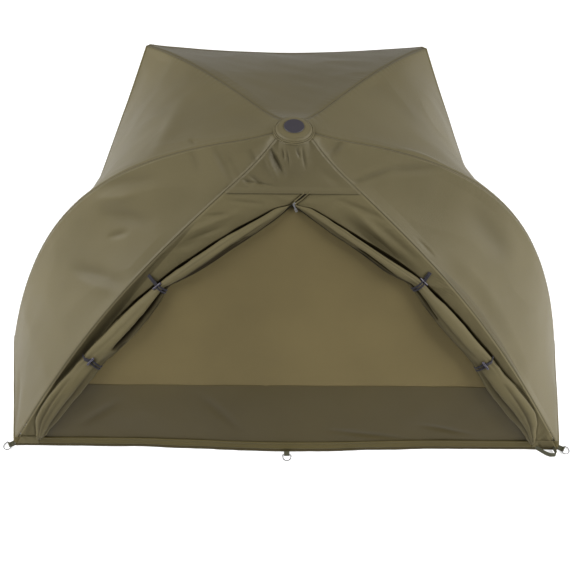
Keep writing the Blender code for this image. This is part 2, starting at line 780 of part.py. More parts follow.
def make_rod_and_foot(maker, rib, pivot):
    clear = FOOT_RADIUS * cos(rib.end_slope) + GROUND_CLEAR
    end = WHOLE
    if rib.on_ground:
        end = find_share(lambda t: rib.rod_centre(t).y, clear, low=HALF)
    tip = rib.rod_centre(end)

    def far_from(point, distance, low, high, rising):
        gauge = (lambda t: -(rib.rod_centre(t) - point).length) if rising else (
            lambda t: (rib.rod_centre(t) - point).length)
        return find_share(gauge, -distance if rising else distance, low, high)

    start = far_from(rib.rod_centre(0.0), SOCKET_FLOOR + GAP, 0.0, HALF, True)
    stop = far_from(tip, FOOT_FLOOR + GAP, HALF, end, False)
    points = []
    for i in range(ROD_POINTS):
        t = start + (stop - start) * i / (ROD_POINTS - 1)
        points.append(rib.place(rib.rod_centre(t)))
    maker.add(wire("rib_rod_" + rib.name, points, ROD_RADIUS), maker.rod, pivot, smooth=True)

    bore = ROD_RADIUS + ROD_PLAY
    profile = ((bore, FOOT_LENGTH), (FOOT_RADIUS, FOOT_LENGTH), (FOOT_RADIUS, FOOT_EDGE),
               (FOOT_RADIUS - FOOT_EDGE, 0.0), (0.0, 0.0))
    profile += ((0.0, FOOT_FLOOR), (bore, FOOT_FLOOR), (bore, FOOT_LENGTH))
    foot = turned_cup("rib_foot_" + rib.name, profile)
    back = rib.rod_centre(far_from(tip, FOOT_LENGTH, HALF, end, False)) - tip
    up = rib.place(back) - rib.place(Vector((0.0, 0.0)))
    turn = up.to_track_quat("Z", "Y").to_matrix().to_4x4()
    foot.data.transform(Matrix.Translation(rib.place(tip)) @ turn)
    maker.add(foot, maker.rubber, pivot)


def turned_cup(name, profile):
    """A cup spun in bmesh about Z, from its rim's inner edge round to the floor of its bore."""
    bm = bmesh.new()
    outline = [bm.verts.new((radius, 0.0, height)) for radius, height in profile[:-1]]
    edges = [bm.edges.new(pair) for pair in zip(outline, outline[1:] + outline[:1])
             if pair[0].co.x > 0 or pair[1].co.x > 0]
    bmesh.ops.spin(bm, geom=edges + outline, axis=(0.0, 0.0, 1.0), cent=(0.0, 0.0, 0.0),
                   angle=2 * pi, steps=ROUND_SIDES, use_merge=True)
    bmesh.ops.remove_doubles(bm, verts=bm.verts, dist=WELD)
    bmesh.ops.recalc_face_normals(bm, faces=bm.faces)
    return object_from_bmesh(name, bm)


def make_canopy(maker, pivots):
    order = ("rear_left", "side_left", "front_left", "front_right", "side_right", "rear_right")
    for i, name in enumerate(order):
        rib = RIBS[name]
        before, after = RIBS[order[i - 1]], RIBS[order[(i + 1) % len(order)]]
        grid = []
        top = Vector((0.0, 0.0, CANOPY_TOP))
        grid.append(crown_columns(rib, before) + [rib.out * CROWN_HOLE_RADIUS + top]
                    + list(reversed(crown_columns(rib, after))))
        for t in ROWS:
            row = []
            for other, turned_round in ((before, False), (after, True)):
                if other.name.startswith("rear") and rib.name.startswith("rear"):
                    columns = header_columns(rib, t)
                else:
                    columns = panel_columns(rib, other, t)
                row += list(reversed(columns)) if turned_round else columns
                if not turned_round:
                    row.append(rib.place(rib.seam(t)))
            grid.append(row)

        def outward(p, rib=rib):
            return rib.out + Vector((0.0, 0.0, OUTWARD))

        gore = sheet("canopy_" + name, grid, outward, FABRIC)
        maker.add(gore, maker.canopy, pivots[name], smooth=True)


def header_columns(rib, t):
    """The header above the door: cloth from the middle of the rear to the rib's band."""
    edge = wall_edge(rib, t)
    reach = abs(edge.x)
    spans = (PANEL_GAP, min(JOIN_STRIP, reach * THIRD / 2), reach * THIRD, reach * 2 * THIRD)
    if t > DOOR_TOP + SAME_ROW_SHARE:
        row = [None] * len(spans)
    else:
        row = [over_crown(wall_point(rib.side, t, across)) for across in spans]
    row.append(over_crown(edge))
    return row


def zip_line(t):
    """Distance of the zip from the middle at a share of the wall, toward +X."""
    foot = wall_share(ZIP_FOOT_HEIGHT)
    return ZIP_LEAN * max(0.0, (foot - t) / (foot - DOOR_TOP))


def zip_half_span():
    """Half the zip's width, measured level across its lean."""
    foot = wall_share(ZIP_FOOT_HEIGHT)
    rise = (wall_point(1, DOOR_TOP, 0.0) - wall_point(1, foot, 0.0)).length
    return ZIP_HALF_WIDTH * hypot(rise, ZIP_LEAN) / rise


def roll_stations(side):
    """Rows of the rolled flap from the top seam down: (t, inner edge, outer edge, bulk)."""
    rows = []
    span = zip_half_span()
    foot = wall_share(ZIP_FOOT_HEIGHT)
    top = DOOR_TOP + SEAM_GAP_SHARE
    for t in (top, (top + foot) / 2, foot):
        free = side * zip_line(t) + span + GAP
        rows.append((t, free, free + ROLL_BEAD, ROLL_BEAD_BULK))
    shares = ROLL_STATION_SHARES["left" if side < 0 else "right"]
    for height, inner, outer, bulk in shares:
        rows.append((wall_share(height * DOOR_TOP_HEIGHT), inner * REAR_HALF_WIDTH,
                     outer * REAR_HALF_WIDTH, bulk * ROLL_BULK))
    return rows


def roll_at(side, t):
    """The roll's edges and bulk at a share of the wall, eased between its stations."""
    stations = roll_stations(side)
    for upper, lower in zip(stations, stations[1:]):
        if t <= lower[0]:
            break
    share = min(1.0, max(0.0, (t - upper[0]) / (lower[0] - upper[0])))
    ease = share * share * (3 - 2 * share)
    edges = [a + (b - a) * share for a, b in zip(upper[1:3], lower[1:3])]
    return edges[0], edges[1], upper[3] + (lower[3] - upper[3]) * ease


def roll_outline(side, t, proud=0.0):
    """The roll's section at t, from its rib side over the top and back underneath.

    Each point is (distance from the middle, height over the wall).
    """
    inner, outer, bulk = roll_at(side, t)
    half, middle = (outer - inner) / 2, (outer + inner) / 2
    centre = ROLL_UNDERSIDE + bulk / 2
    count = ROLL_OUTLINE_POINTS
    points = []
    for i in range(count):
        angle = ROLL_OUTLINE_START - ROLL_OUTLINE_SWEEP * i / (count - 1)
        fold = sin(ROLL_FOLD_COUNT * angle + ROLL_FOLD_TWIST * t) * max(0.0, sin(angle))
        fold *= ROLL_FOLD_DEPTH_SHARE
        across = (half * (1 + fold) + proud) * cos(angle)
        height = (bulk / 2 * (1 + fold) + proud) * sin(angle)
        points.append((middle - across, centre + height))
    return points


def tie_shares():
    """Where the ties sit on the wall, with the two edges of each elastic."""
    found = []
    for share in TIE_HEIGHT_SHARES:
        t = wall_share(share * DOOR_TOP_HEIGHT)
        half = ELASTIC_WIDTH / 2 / hypot(REAR_HALF_WIDTH, PIN_HEIGHT)
        found.append((t - half, t, t + half))
    return found


def make_door_flap(maker, word, pivot):
    """A door flap drawn aside: flat by the rib, gathered into a tied roll along its free edge."""
    side = -1 if word == "left" else 1
    rib = RIBS["rear_" + word]
    stations = [row[0] for row in roll_stations(side)]
    between = [(a + b) / 2 for a, b in zip(stations[2:], stations[3:])]
    ties = [t for group in tie_shares() for t in group]
    rings = []
    for t in rows_between(stations[0], stations[-1], (*stations, *between, *ties)):
        outer = roll_at(side, t)[1]
        flat = abs(wall_edge(rib, t).x) - 2 * GAP
        back = flat - FABRIC
        middle = (flat + outer) / 2
        crease = outer + min(ROLL_CREASE, (flat - outer) / 3)
        outline = [(flat, 0.0), (middle, 0.0), (crease, 0.0)] + roll_outline(side, t)
        outline += [(crease, -FABRIC), (middle, -FABRIC), (back, -FABRIC)]
        rings.append([wall_point(side, t, across, height) for across, height in outline])
    maker.add(loft("door_flap_" + word, rings), maker.canopy, pivot, smooth=True)


def make_ties(maker, word, pivot):
    side = -1 if word == "left" else 1
    for level, shares in zip(("upper", "lower"), tie_shares()):
        grid = []
        for t in shares:
            outer = roll_at(side, t)[1]
            outline = [(outer + ELASTIC_TAIL, GAP), (outer + ROLL_CREASE + FABRIC, GAP)]
            outline += roll_outline(side, t, 2 * GAP)
            grid.append([wall_point(side, t, across, height) for across, height in outline])
        normal = wall_normal(shares[1])
        inner, outer, bulk = roll_at(side, shares[1])
        core = wall_point(side, shares[1], (inner + outer) / 2, bulk / 2)

        def outward(p, core=core, normal=normal):
            return (p - core).normalized() + normal * ELASTIC_LEAN_SHARE

        band = sheet(f"elastic_{level}_{word}", grid, outward, ELASTIC_THICKNESS, grow=OUTWARD)
        maker.add(band, maker.plastic, pivot)
        make_toggle(maker, level, word, shares, pivot)


def make_toggle(maker, level, word, shares, pivot):
    side = -1 if word == "left" else 1
    first, t, last = shares
    height = GAP + ELASTIC_THICKNESS + GAP + TOGGLE_RADIUS
    aside = TOGGLE_RADIUS + TOGGLE_STANDOFF
    centre = wall_point(side, t, roll_at(side, t)[1] + aside, height)
    above = wall_point(side, first, roll_at(side, first)[1] + aside, height)
    below = wall_point(side, last, roll_at(side, last)[1] + aside, height)
    along = (below - above).normalized() * (TOGGLE_LENGTH / 2)
    bar = rod(f"toggle_{level}_{word}", TOGGLE_RADIUS, centre - along, centre + along,
              sides=SMALL_SIDES)
    soften(bar, TOGGLE_EDGE, 1)
    maker.add(bar, maker.plastic, pivot)


def make_window(maker, word, pivot):
    """Half of the mesh window and half of the mud flap below it, split at the middle."""
    side = -1 if word == "left" else 1
    rib = RIBS["rear_" + word]

    def strip(t, layer):
        edge = abs(wall_edge(rib, t).x) - MESH_INSET
        span = min(BULGE_HALF_SPAN, edge * SPAN_SHARE)
        reaches = (GAP / 2, span / 2, span, edge)
        return [wall_point(side, t, across, layer) for across in reaches]

    def outward(p):
        return wall_normal(HALF)

    top = DOOR_TOP - GAP - MESH_TOP_INSET
    rows = rows_between(top, MUD_TOP - GAP)
    mesh = sheet("mesh_window_" + word, [strip(t, MESH_LAYER) for t in rows], outward, FABRIC)
    maker.add(mesh, maker.mesh, pivot)

    rows = rows_between(MUD_TOP + GAP, WHOLE)
    grid = [strip(t, MESH_LAYER) for t in rows]
    foot = [Vector((p.x, p.y, 0.0)) for p in grid[-1]]
    flange = [p + Vector((0.0, HEM_FLANGE, 0.0)) for p in foot]
    grid[-1] = foot
    grid.append(flange)
    flap = sheet("mud_flap_" + word, grid, outward, FABRIC)
    maker.add(flap, maker.mud, pivot)


def make_zip(maker, pivot):
    foot = wall_share(ZIP_FOOT_HEIGHT)
    span = zip_half_span()
    rings = []
    for t in rows_between(DOOR_TOP + SEAM_GAP_SHARE, foot):
        across = zip_line(t)
        corners = ((-span, -FABRIC), (span, -FABRIC), (span, ZIP_PROUD), (-span, ZIP_PROUD))
        rings.append([wall_point(1, t, across + x, h) for x, h in corners])
    maker.add(loft("zip_head", rings), maker.strap, pivot)

    low = wall_point(1, foot, 0.0)
    high = wall_point(1, DOOR_TOP, ZIP_LEAN)
    along = (high - low).normalized()
    normal = wall_normal(foot)
    aside = along.cross(normal).normalized()
    normal = aside.cross(along).normalized()
    place = Matrix((aside, along, normal)).transposed().to_4x4()
    base = wall_point(1, foot, 0.0, ZIP_PROUD + GAP) + along * (SLIDER_LENGTH / 2)
    seat = Matrix.Translation(base) @ place
    slider_pivot = maker.pivot("zip_slider", base, pivot)

    half, length = SLIDER_HALF_WIDTH, SLIDER_LENGTH / 2
    slider = box("zip_slider", (-half, -length, 0.0), (half, length, SLIDER_HEIGHT))
    soften(slider, SLIDER_EDGE, 1)
    slider.data.transform(seat)
    maker.add(slider, maker.alloy, slider_pivot)

    hinge = seat @ Vector((0.0, -length / 2, SLIDER_HEIGHT + GAP + PULLER_THICKNESS / 2))
    down = (wall_point(1, foot + PULLER_REACH_SHARE, 0.0)
            - wall_point(1, foot, 0.0)).normalized()
    hang = Matrix.Rotation(PULLER_LEAN, 3, normal) @ down
    pull_aside = hang.cross(normal).normalized()
    puller_turn = Matrix((pull_aside, -hang, hang.cross(pull_aside))).transposed().to_4x4()
    pull_pivot = maker.pivot("zip_puller", hinge, slider_pivot)
    thick = PULLER_THICKNESS / 2
    puller = box("zip_puller", (-PULLER_HALF_WIDTH, -PULLER_LENGTH, -thick),
                 (PULLER_HALF_WIDTH, thick, thick))
    soften(puller, thick / 2, 1)
    hole = PULLER_LENGTH * PULLER_HOLE_SHARE
    eye = rod("cut_puller_eye", PULLER_EYE_RADIUS, (0.0, -hole, -OVERRUN),
              (0.0, -hole, OVERRUN), sides=SMALL_SIDES)
    for obj in (puller, eye):
        obj.data.transform(Matrix.Translation(hinge) @ puller_turn)
    combine(puller, maker.cutter(eye), "DIFFERENCE")
    maker.add(puller, maker.alloy, pull_pivot)
    return hang, pull_aside, along


def make_peg_point(maker, word, anchor, out, pivot):
    """A folded webbing tab on the ground, with the wire ring that takes a peg."""
    across = Vector((-out.y, out.x, 0.0))
    inner = RING_WIRE_RADIUS + RING_BAR_PLAY
    outer = inner + STRAP_THICKNESS
    bar_height = outer + GROUND_CLEAR
    profile = [(0.0, GROUND_CLEAR)]
    start_angle = -pi / 2
    steps = TAB_STEPS
    for i in range(steps + 1):
        angle = start_angle + i / steps * (3 * pi / 2)
        profile.append((TAB_LENGTH + outer * cos(angle), bar_height + outer * sin(angle)))
    profile.append((TAB_LENGTH - outer, GROUND_CLEAR + STRAP_THICKNESS))
    profile.append((0.0, GROUND_CLEAR + STRAP_THICKNESS))
    half = STRAP_WIDTH / 2
    rings = [[anchor + out * (r + GAP) + across * a + Vector((0.0, 0.0, z)) for r, z in profile]
             for a in (-half, half)]
    tab = loft("peg_tab_" + word, rings)
    bar = anchor + out * (TAB_LENGTH + GAP) + Vector((0.0, 0.0, bar_height))
    eye = rod("cut_tab_" + word, inner, bar - across * (half + OVERRUN),
              bar + across * (half + OVERRUN), sides=SMALL_SIDES)
    combine(tab, maker.cutter(eye), "DIFFERENCE")
    maker.add(tab, maker.strap, pivot)

    ring_pivot = maker.pivot("ring_" + word, bar, pivot)
    lean = (bar_height - RING_WIRE_RADIUS - GROUND_CLEAR) / RING_DEPTH
    away = (out - Vector((0.0, 0.0, lean))).normalized()
    straight = RING_DEPTH - RING_HALF_WIDTH
    points = [bar + across * RING_HALF_WIDTH, bar - across * RING_HALF_WIDTH]
    for i in range(RING_STEPS + 1):
        angle = pi * i / RING_STEPS
        points.append(bar + away * (straight + RING_HALF_WIDTH * sin(angle))
                      - across * (RING_HALF_WIDTH * cos(angle)))
    ring = wire("peg_ring_" + word, points, RING_WIRE_RADIUS, closed=True)
    maker.add(ring, maker.alloy, ring_pivot, smooth=True)


# Middle line of the carrying loop: steps from the right rear corner, toward the hem's middle
# (shares of the loop's length), behind the hem (shares of its reach) and up (shares of the
# webbing's width).
LOOP_LENGTH = 0.120
LOOP_REACH = 0.055
LOOP_PATH_SHARES = (
    (0.98, -0.008, 0.60), (0.80, 0.30, 0.58), (0.56, 0.72, 0.53), (0.30, 0.96, 0.52),
    (0.12, 0.96, 0.52), (0.06, 0.74, 0.54), (0.10, 0.42, 0.58), (0.14, -0.012, 0.60),
)


def make_carry_loop(maker, pivot):
    corner = wall_point(1, WHOLE, wall_edge(RIBS["rear_right"], WHOLE).x, MESH_LAYER)
    corner.z = GROUND_CLEAR
    path = [corner + Vector((-LOOP_LENGTH * a, -LOOP_REACH * b - GAP, STRAP_WIDTH * c))
            for a, b, c in LOOP_PATH_SHARES]
    rings = []
    for i, p in enumerate(path):
        ahead, behind = path[min(i + 1, len(path) - 1)], path[max(i - 1, 0)]
        along = (ahead - behind).normalized()
        side = along.cross(Vector((0.0, 0.0, OUTWARD))).normalized()
        side *= LOOP_STRAP_THICKNESS / 2
        up = Vector((0.0, 0.0, STRAP_WIDTH / 2))
        rings.append([p + side + up, p - side + up, p - side - up, p + side - up])
    maker.add(loft("carry_loop", rings), maker.strap, pivot)


def centre_outline(maker):
    """Moves the frame so the outline's middle lies over the origin."""
    bpy.context.view_layer.update()
    graph = bpy.context.evaluated_depsgraph_get()
    reach = []
    for obj in maker.parts.objects:
        if obj.type == "MESH":
            seen = obj.evaluated_get(graph)
            reach += [(seen.matrix_world @ Vector(c)).y for c in seen.bound_box]
    maker.frame.location.y = -(min(reach) + max(reach)) / 2
    bpy.context.view_layer.update()


def main():
    clear_scene()
    maker = Maker()
    make_hub_block(maker)
    make_hinge_pins(maker)
    make_crown_cap(maker)
    make_release(maker)
    pivots = {}
    for name, rib in RIBS.items():
        pivots[name] = maker.pivot("rib_" + name, rib.place(rib.pin))
        make_knuckle(maker, rib, pivots[name])
        make_rod_and_foot(maker, rib, pivots[name])
    make_canopy(maker, pivots)
    for word in ("left", "right"):
        pivot = pivots["rear_" + word]
        make_window(maker, word, pivot)
        make_door_flap(maker, word, pivot)
        make_ties(maker, word, pivot)
        rib = RIBS["rear_" + word]
        make_peg_point(maker, word, rib.out * rib.reach, rib.out, pivot)
    make_zip(maker, pivots["rear_left"])
    middle = wall_point(1, WHOLE, 0.0, MESH_LAYER)
    behind = Vector((0.0, INWARD, 0.0))
    make_peg_point(maker, "middle", Vector((0.0, middle.y, 0.0)), behind, pivots["rear_left"])
    make_carry_loop(maker, pivots["rear_right"])
    centre_outline(maker)


main()
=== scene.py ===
"""The looks of the fishing umbrella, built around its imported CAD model.

All lengths are in metres, in the frame of the CAD model: +Z is up and +Y leads out of the
open front. Left is -X, as seen by someone who stands behind and looks at the rear door.
"""

from math import atan2, cos, hypot, pi, radians, sin

import bmesh
import bpy
import numpy as np
from mathutils import Matrix, Vector


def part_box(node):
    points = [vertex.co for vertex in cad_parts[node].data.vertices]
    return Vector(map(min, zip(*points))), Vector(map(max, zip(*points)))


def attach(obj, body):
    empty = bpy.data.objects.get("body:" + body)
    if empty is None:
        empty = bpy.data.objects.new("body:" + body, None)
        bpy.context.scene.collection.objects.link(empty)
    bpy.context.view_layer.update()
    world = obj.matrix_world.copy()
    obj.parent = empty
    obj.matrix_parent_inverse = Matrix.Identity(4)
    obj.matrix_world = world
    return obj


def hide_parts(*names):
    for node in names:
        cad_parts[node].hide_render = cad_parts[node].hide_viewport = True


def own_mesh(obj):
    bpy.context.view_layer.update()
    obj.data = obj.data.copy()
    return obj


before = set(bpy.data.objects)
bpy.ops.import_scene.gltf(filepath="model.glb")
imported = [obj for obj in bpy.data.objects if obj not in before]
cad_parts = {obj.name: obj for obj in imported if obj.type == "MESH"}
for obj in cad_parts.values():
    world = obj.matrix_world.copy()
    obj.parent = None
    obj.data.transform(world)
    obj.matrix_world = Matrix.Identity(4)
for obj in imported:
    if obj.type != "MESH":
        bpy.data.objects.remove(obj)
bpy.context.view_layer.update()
HUB_LOW, HUB_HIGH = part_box("hub_block")
HUB_PLACE = np.array((0.0, (HUB_LOW.y + HUB_HIGH.y) / 2, 0.0))


def in_metres(rows):
    """Rows of numbers in millimetres, taken over in metres."""
    return tuple(in_metres(row) if isinstance(row, tuple) else row / 1000 for row in rows)


# Sizes of the frame, as in the CAD model
CLOTH = 0.0008
PIN = np.array((0.055, 1.203))
ARM_LENGTH = 0.030
ROD_DEPTH = 0.0119
PLATE_RADIUS = 0.068
CAP_RADIUS = 0.080
CANOPY_TOP = 1.2332
REAR_HALF_WIDTH = 1.250
HUB_SETBACK = 0.754
FRONT_TIP_HEIGHT = 0.865
END_LIFT = 0.0014
BAND_HALF_WIDTH = 0.012
PANEL_SAG = 0.018
CROWN_FALL_REACH = 0.160
CROWN_STEEPNESS = 2.45
CROWN_LEDGE = 0.014
HEM_GROUND_SHARE = 0.20
HEM_RISE_POWER = 1.25
FRONT_EDGE_SWEEP = 0.060
DOOR_TOP_HEIGHT = 1.057
ZIP_FOOT_HEIGHT = 1.0205
MUD_FLAP_HEIGHT = 0.322
ZIP_LEAN = 0.055
WALL_BULGE = 0.020
BULGE_HALF_SPAN = 0.800
# The rolled flaps from the top down, in millimetres: height on the wall, distance of both edges
# from the middle, and bulk
ROLL_STATIONS = {
    "left": ((1010, 22, 63, 14), (1000, 37, 88, 20), (985, 59, 121, 26), (970, 84, 156, 30),
             (950, 120, 203, 34), (930, 156, 248, 37), (900, 212, 309, 40), (870, 269, 365, 43),
             (840, 322, 419, 45), (800, 397, 488, 46), (770, 462, 532, 40), (746, 512, 566, 30),
             (720, 531, 601, 34), (680, 555, 653, 42), (650, 580, 687, 46), (600, 626, 743, 50),
             (550, 675, 795, 50), (500, 727, 848, 46), (445, 788, 897, 36), (423, 810, 920, 36),
             (390, 837, 950, 40), (350, 868, 990, 45), (300, 909, 1036, 48),
             (250, 953, 1074, 46), (200, 992, 1106, 43), (150, 1033, 1128, 38),
             (100, 1074, 1134, 30), (42, 1114, 1140, 18)),
    "right": ((1010, 23, 70, 14), (1000, 41, 95, 20), (985, 69, 129, 26), (970, 96, 160, 30),
              (950, 133, 203, 34), (930, 169, 243, 36), (900, 230, 302, 38), (870, 286, 362, 40),
              (840, 337, 422, 42), (800, 405, 498, 42), (785, 440, 522, 38), (766, 482, 547, 30),
              (740, 511, 579, 34), (710, 537, 617, 38), (680, 562, 654, 42), (650, 588, 688, 45),
              (600, 635, 741, 48), (550, 685, 790, 48), (500, 740, 840, 44), (448, 787, 890, 36),
              (423, 806, 911, 36), (390, 825, 940, 40), (350, 853, 981, 45),
              (300, 892, 1030, 48), (250, 935, 1070, 46), (200, 977, 1104, 42),
              (150, 1026, 1118, 37), (100, 1069, 1122, 30), (42, 1106, 1130, 18)),
}
ROLL_STATIONS = {name: in_metres(rows) for name, rows in ROLL_STATIONS.items()}
# Each tie: where its strap is sewn on and where its toggle lies, as (from the middle, height)
TIES = {
    ("left", "upper"): ((0.599, 0.782), (0.561, 0.749)),
    ("left", "lower"): ((0.900, 0.4495), (0.858, 0.4450)),
    ("right", "upper"): ((0.5786, 0.801), (0.5526, 0.7686)),
    ("right", "lower"): ((0.882, 0.4671), (0.841, 0.4480)),
}
# At heights on the wall: how much painted shade lies on a roll's mesh side, which turns away
# # from the light, and how deep the gap beside it is, which also sets the painted shade in that gap
ROLL_PAINTED_SHADE = {
    "left": ((0.04, 0.30, 0.43, 0.50, 0.68, 0.745, 0.80, 0.98, 1.02),
             (0.40, 0.46, 0.52, 0.62, 0.78, 0.80, 0.84, 0.78, 0.50)),
    "right": ((0.04, 0.30, 0.43, 0.55, 0.70, 0.77, 0.82, 0.98, 1.02),
              (0.46, 0.52, 0.56, 0.64, 0.74, 0.76, 0.80, 0.76, 0.50)),
}
GAP_DEPTH = {
    "left": ((0.10, 0.44, 0.56, 0.64, 0.70, 1.03), (0.10, 0.10, 0.14, 0.55, 1.0, 1.0)),
    "right": ((0.10, 0.30, 0.42, 0.50, 0.60, 1.03), (0.10, 0.14, 0.30, 0.70, 1.0, 1.0)),
}
# The rear hem's height as a share of what its section says, and the layer its fittings are in
HEM_SHARE = 0.76
HEM_LAYER = -0.0019
# Painted shade along the line of a seam, and painted shade over all of the front panel and the door's
# header
SEAM_LINE_PAINTED_SHADE = 0.50
LEVEL_PAINTED_SHADE = 0.13
# Lean of an elastic that lies square to its roll, and the wall's length along its slope
SQUARE_SLOPE = 0.56
WALL_LENGTH = 1.45
# Distance of a corner's peg tab from the hub's axis
TAB_REACH = 1.4598
# Distances from a seam of the columns of points on its band
SEAM_COLUMNS = (0.0, 0.004, 0.008)
# Beside a seam, at shares of its length: the widths of the fold by the left flap and of the one
# # by the right rear panel, and of the band of painted shade by the left flap
LEFT_GULLY = ((0.36, 0.48, 0.60, 0.72, 0.84), (0.000, 0.020, 0.052, 0.042, 0.000))
RIGHT_GULLY = ((0.42, 0.52, 0.62, 0.74, 0.84), (0.000, 0.020, 0.032, 0.026, 0.000))
SEAM_BAND_PAINTED_SHADE = ((0.24, 0.32, 0.42, 0.52, 0.60, 0.72, 0.82, 0.88),
              (0.000, 0.016, 0.030, 0.040, 0.050, 0.044, 0.012, 0.000))
UP = np.array((0.0, 0.0, 1.0))
WALL_OUT = np.array((0.0, -1.0, 1.0))
SIDES = ((-1, "left"), (1, "right"))


def word_of(side):
    return "left" if side < 0 else "right"


def clamp(x):
    return np.clip(x, 0.0, 1.0)


def eased(x, places, values):
    """Values between places on one smooth line that doesn't overshoot."""
    places, values = np.asarray(places), np.asarray(values)
    step = np.diff(values) / np.diff(places)
    slope = np.zeros_like(values)
    same = step[:-1] * step[1:] > 0
    slope[1:-1][same] = 2 * step[:-1][same] * step[1:][same] / (step[:-1] + step[1:])[same]
    slope[0], slope[-1] = step[0], step[-1]
    i = np.clip(np.searchsorted(places, x) - 1, 0, len(places) - 2)
    run = places[i + 1] - places[i]
    s = clamp((x - places[i]) / run)
    return (values[i] * (1 + 2 * s) * (1 - s) ** 2 + values[i + 1] * s * s * (3 - 2 * s)
            + slope[i] * run * s * (1 - s) ** 2 - slope[i + 1] * run * s * s * (1 - s))


def bell(x, place, width):
    return np.exp(-((x - place) / width) ** 2)


def unit(v):
    return v / np.maximum(np.linalg.norm(v, axis=-1, keepdims=True), 1e-12)


def fall(slope):
    return np.array((cos(slope), -sin(slope)))


class Rib:
    """A rib in its upright plane through the hub's axis; (r, z) are distance and height."""

    def __init__(self, name, side, azimuth, reach, slopes, pulls, end_height=None):
        self.name = name
        self.out = np.array((side * sin(azimuth), -cos(azimuth), 0.0))
        self.across = np.array((-self.out[1], self.out[0], 0.0))
        start_slope, end_slope = slopes
        start = PIN + ARM_LENGTH * fall(start_slope)
        start = start + ROD_DEPTH * np.array((sin(start_slope), cos(start_slope)))
        self.on_ground = end_height is None
        end = np.array((reach, END_LIFT if self.on_ground else end_height))
        self.cage = (start, start + pulls[0] * fall(start_slope),
                     end - pulls[1] * fall(end_slope), end)
        self.lift = CANOPY_TOP - start[1]

    def line(self, t):
        t = np.asarray(t, float)[..., None]
        a, b, c, d = self.cage
        s = 1 - t
        return a * s**3 + b * (3 * s * s * t) + c * (3 * s * t * t) + d * t**3

    def seam(self, t):
        p = self.line(t)
        share = np.maximum(0.0, 1 - (p[..., 0] - self.cage[0][0]) / CROWN_FALL_REACH)
        p[..., 1] += self.lift * share**2
        return p

    def outward(self, t):
        t = np.asarray(t, float)[..., None]
        a, b, c, d = self.cage
        s = 1 - t
        along = unit((b - a) * (3 * s * s) + (c - b) * (6 * s * t) + (d - c) * (3 * t * t))
        return self.out * -along[..., 1:2] + UP * along[..., 0:1]

    def place(self, rz, aside=0.0):
        return (self.out * rz[..., 0:1] + self.across * np.asarray(aside)[..., None]
                + UP * rz[..., 1:2])

    def toward(self, other):
        return 1 if other.out @ self.across > 0 else -1

    def band(self, t, other, aside=BAND_HALF_WIDTH):
        return self.place(self.seam(t), self.toward(other) * aside)


def make_ribs():
    ribs = {}
    rear = (atan2(REAR_HALF_WIDTH, HUB_SETBACK), hypot(REAR_HALF_WIDTH, HUB_SETBACK))
    for side, word in SIDES:
        ribs["rear_" + word] = Rib("rear_" + word, side, *rear,
                                   (radians(31.0), radians(54.4)), (0.660, 0.880))
        ribs["side_" + word] = Rib("side_" + word, side, radians(82.9), 1.361,
                                   (radians(2.0), radians(74.4)), (0.700, 0.978))
        ribs["front_" + word] = Rib("front_" + word, side, radians(146.4), 1.278,
                                    (radians(10.0), radians(24.0)), (0.480, 0.420),
                                    FRONT_TIP_HEIGHT)
    return ribs


RIBS = make_ribs()
REAR = RIBS["rear_left"]
FINE = np.linspace(0.0, 1.0, 4001)
WALL_LINE = REAR.band(FINE, RIBS["rear_right"])


def wall_share(height):
    """How far down the wall's slope a height is, as a share."""
    return float(np.interp(-height, -WALL_LINE[:, 2], FINE))


DOOR_TOP = wall_share(DOOR_TOP_HEIGHT)
ZIP_FOOT = wall_share(ZIP_FOOT_HEIGHT)
MUD_TOP = wall_share(MUD_FLAP_HEIGHT)


def over_crown(p):
    """Cloth near the hub drapes off the crown like a cone, with a soft edge."""
    distance = np.hypot(p[..., 0], p[..., 1])
    floor = CANOPY_TOP - CROWN_STEEPNESS * np.maximum(0.0, distance - PLATE_RADIUS - CROWN_LEDGE)
    gap = p[..., 2] - floor
    off = np.maximum(0.0, distance - CAP_RADIUS)
    behind = clamp(-p[..., 1] / np.maximum(distance, 0.001))
    soft = (0.004 + 0.040 * behind) * np.minimum(1.0, off / 0.030) * np.exp(-off / 0.080)
    p[..., 2] = floor + (gap + np.sqrt(gap * gap + soft * soft)) / 2
    return p


def between(first, second, t, share):
    """The cloth between two ribs on a grid of rows t and columns share."""
    a, b = first.band(t, second)[:, None], second.band(t, first)[:, None]
    s = np.asarray(share)[None, :, None]
    p = a + (b - a) * s
    outward = unit(first.outward(t)[:, None] * (1 - s) + second.outward(t)[:, None] * s)
    t = t[:, None]
    across = 4 * s * (1 - s)
    p = p - outward * PANEL_SAG * across * (4 * t * (1 - t))[..., None]
    share = s[..., 0]
    if first.on_ground != second.on_ground:
        grounded, from_ground = (first, share) if first.on_ground else (second, 1 - share)
        straight = a[..., 2] + (b[..., 2] - a[..., 2]) * share
        rise = np.maximum(0.0, (from_ground - HEM_GROUND_SHARE) / (1 - HEM_GROUND_SHARE))
        z = p[..., 2] + (rise**HEM_RISE_POWER - from_ground) * FRONT_TIP_HEIGHT * t**4
        p[..., 2] = np.maximum(z, np.minimum(straight, grounded.seam(1.0)[1]))
    elif not first.on_ground:
        back = unit(first.out + second.out)
        p = p - back * (FRONT_EDGE_SWEEP * across[..., 0] * t**3)[..., None]
    return over_crown(p)


def ripples(p, seed, size, count=14):
    """A smooth uneven field between about -1 and 1, as a sum of waves."""
    rng = np.random.RandomState(seed)
    total = np.zeros(p.shape[:-1])
    for _ in range(count):
        way = unit(rng.normal(size=3))
        pitch = size * rng.uniform(0.6, 1.8)
        total += np.sin(p @ way * (2 * pi / pitch) + rng.uniform(0, 2 * pi))
    return total / np.sqrt(count * 2)


def gully(inset, t, course, steep=0.46, back=0.15):
    """A fold beside a seam: it falls away from the seam at once, and comes back slowly."""
    width = np.maximum(eased(t, *course), 0.0001)
    down = np.sin(clamp(inset / width) * pi / 2)
    up = clamp((inset - width) / back)
    return -steep * width * down * (1 - up * up * (3 - 2 * up))


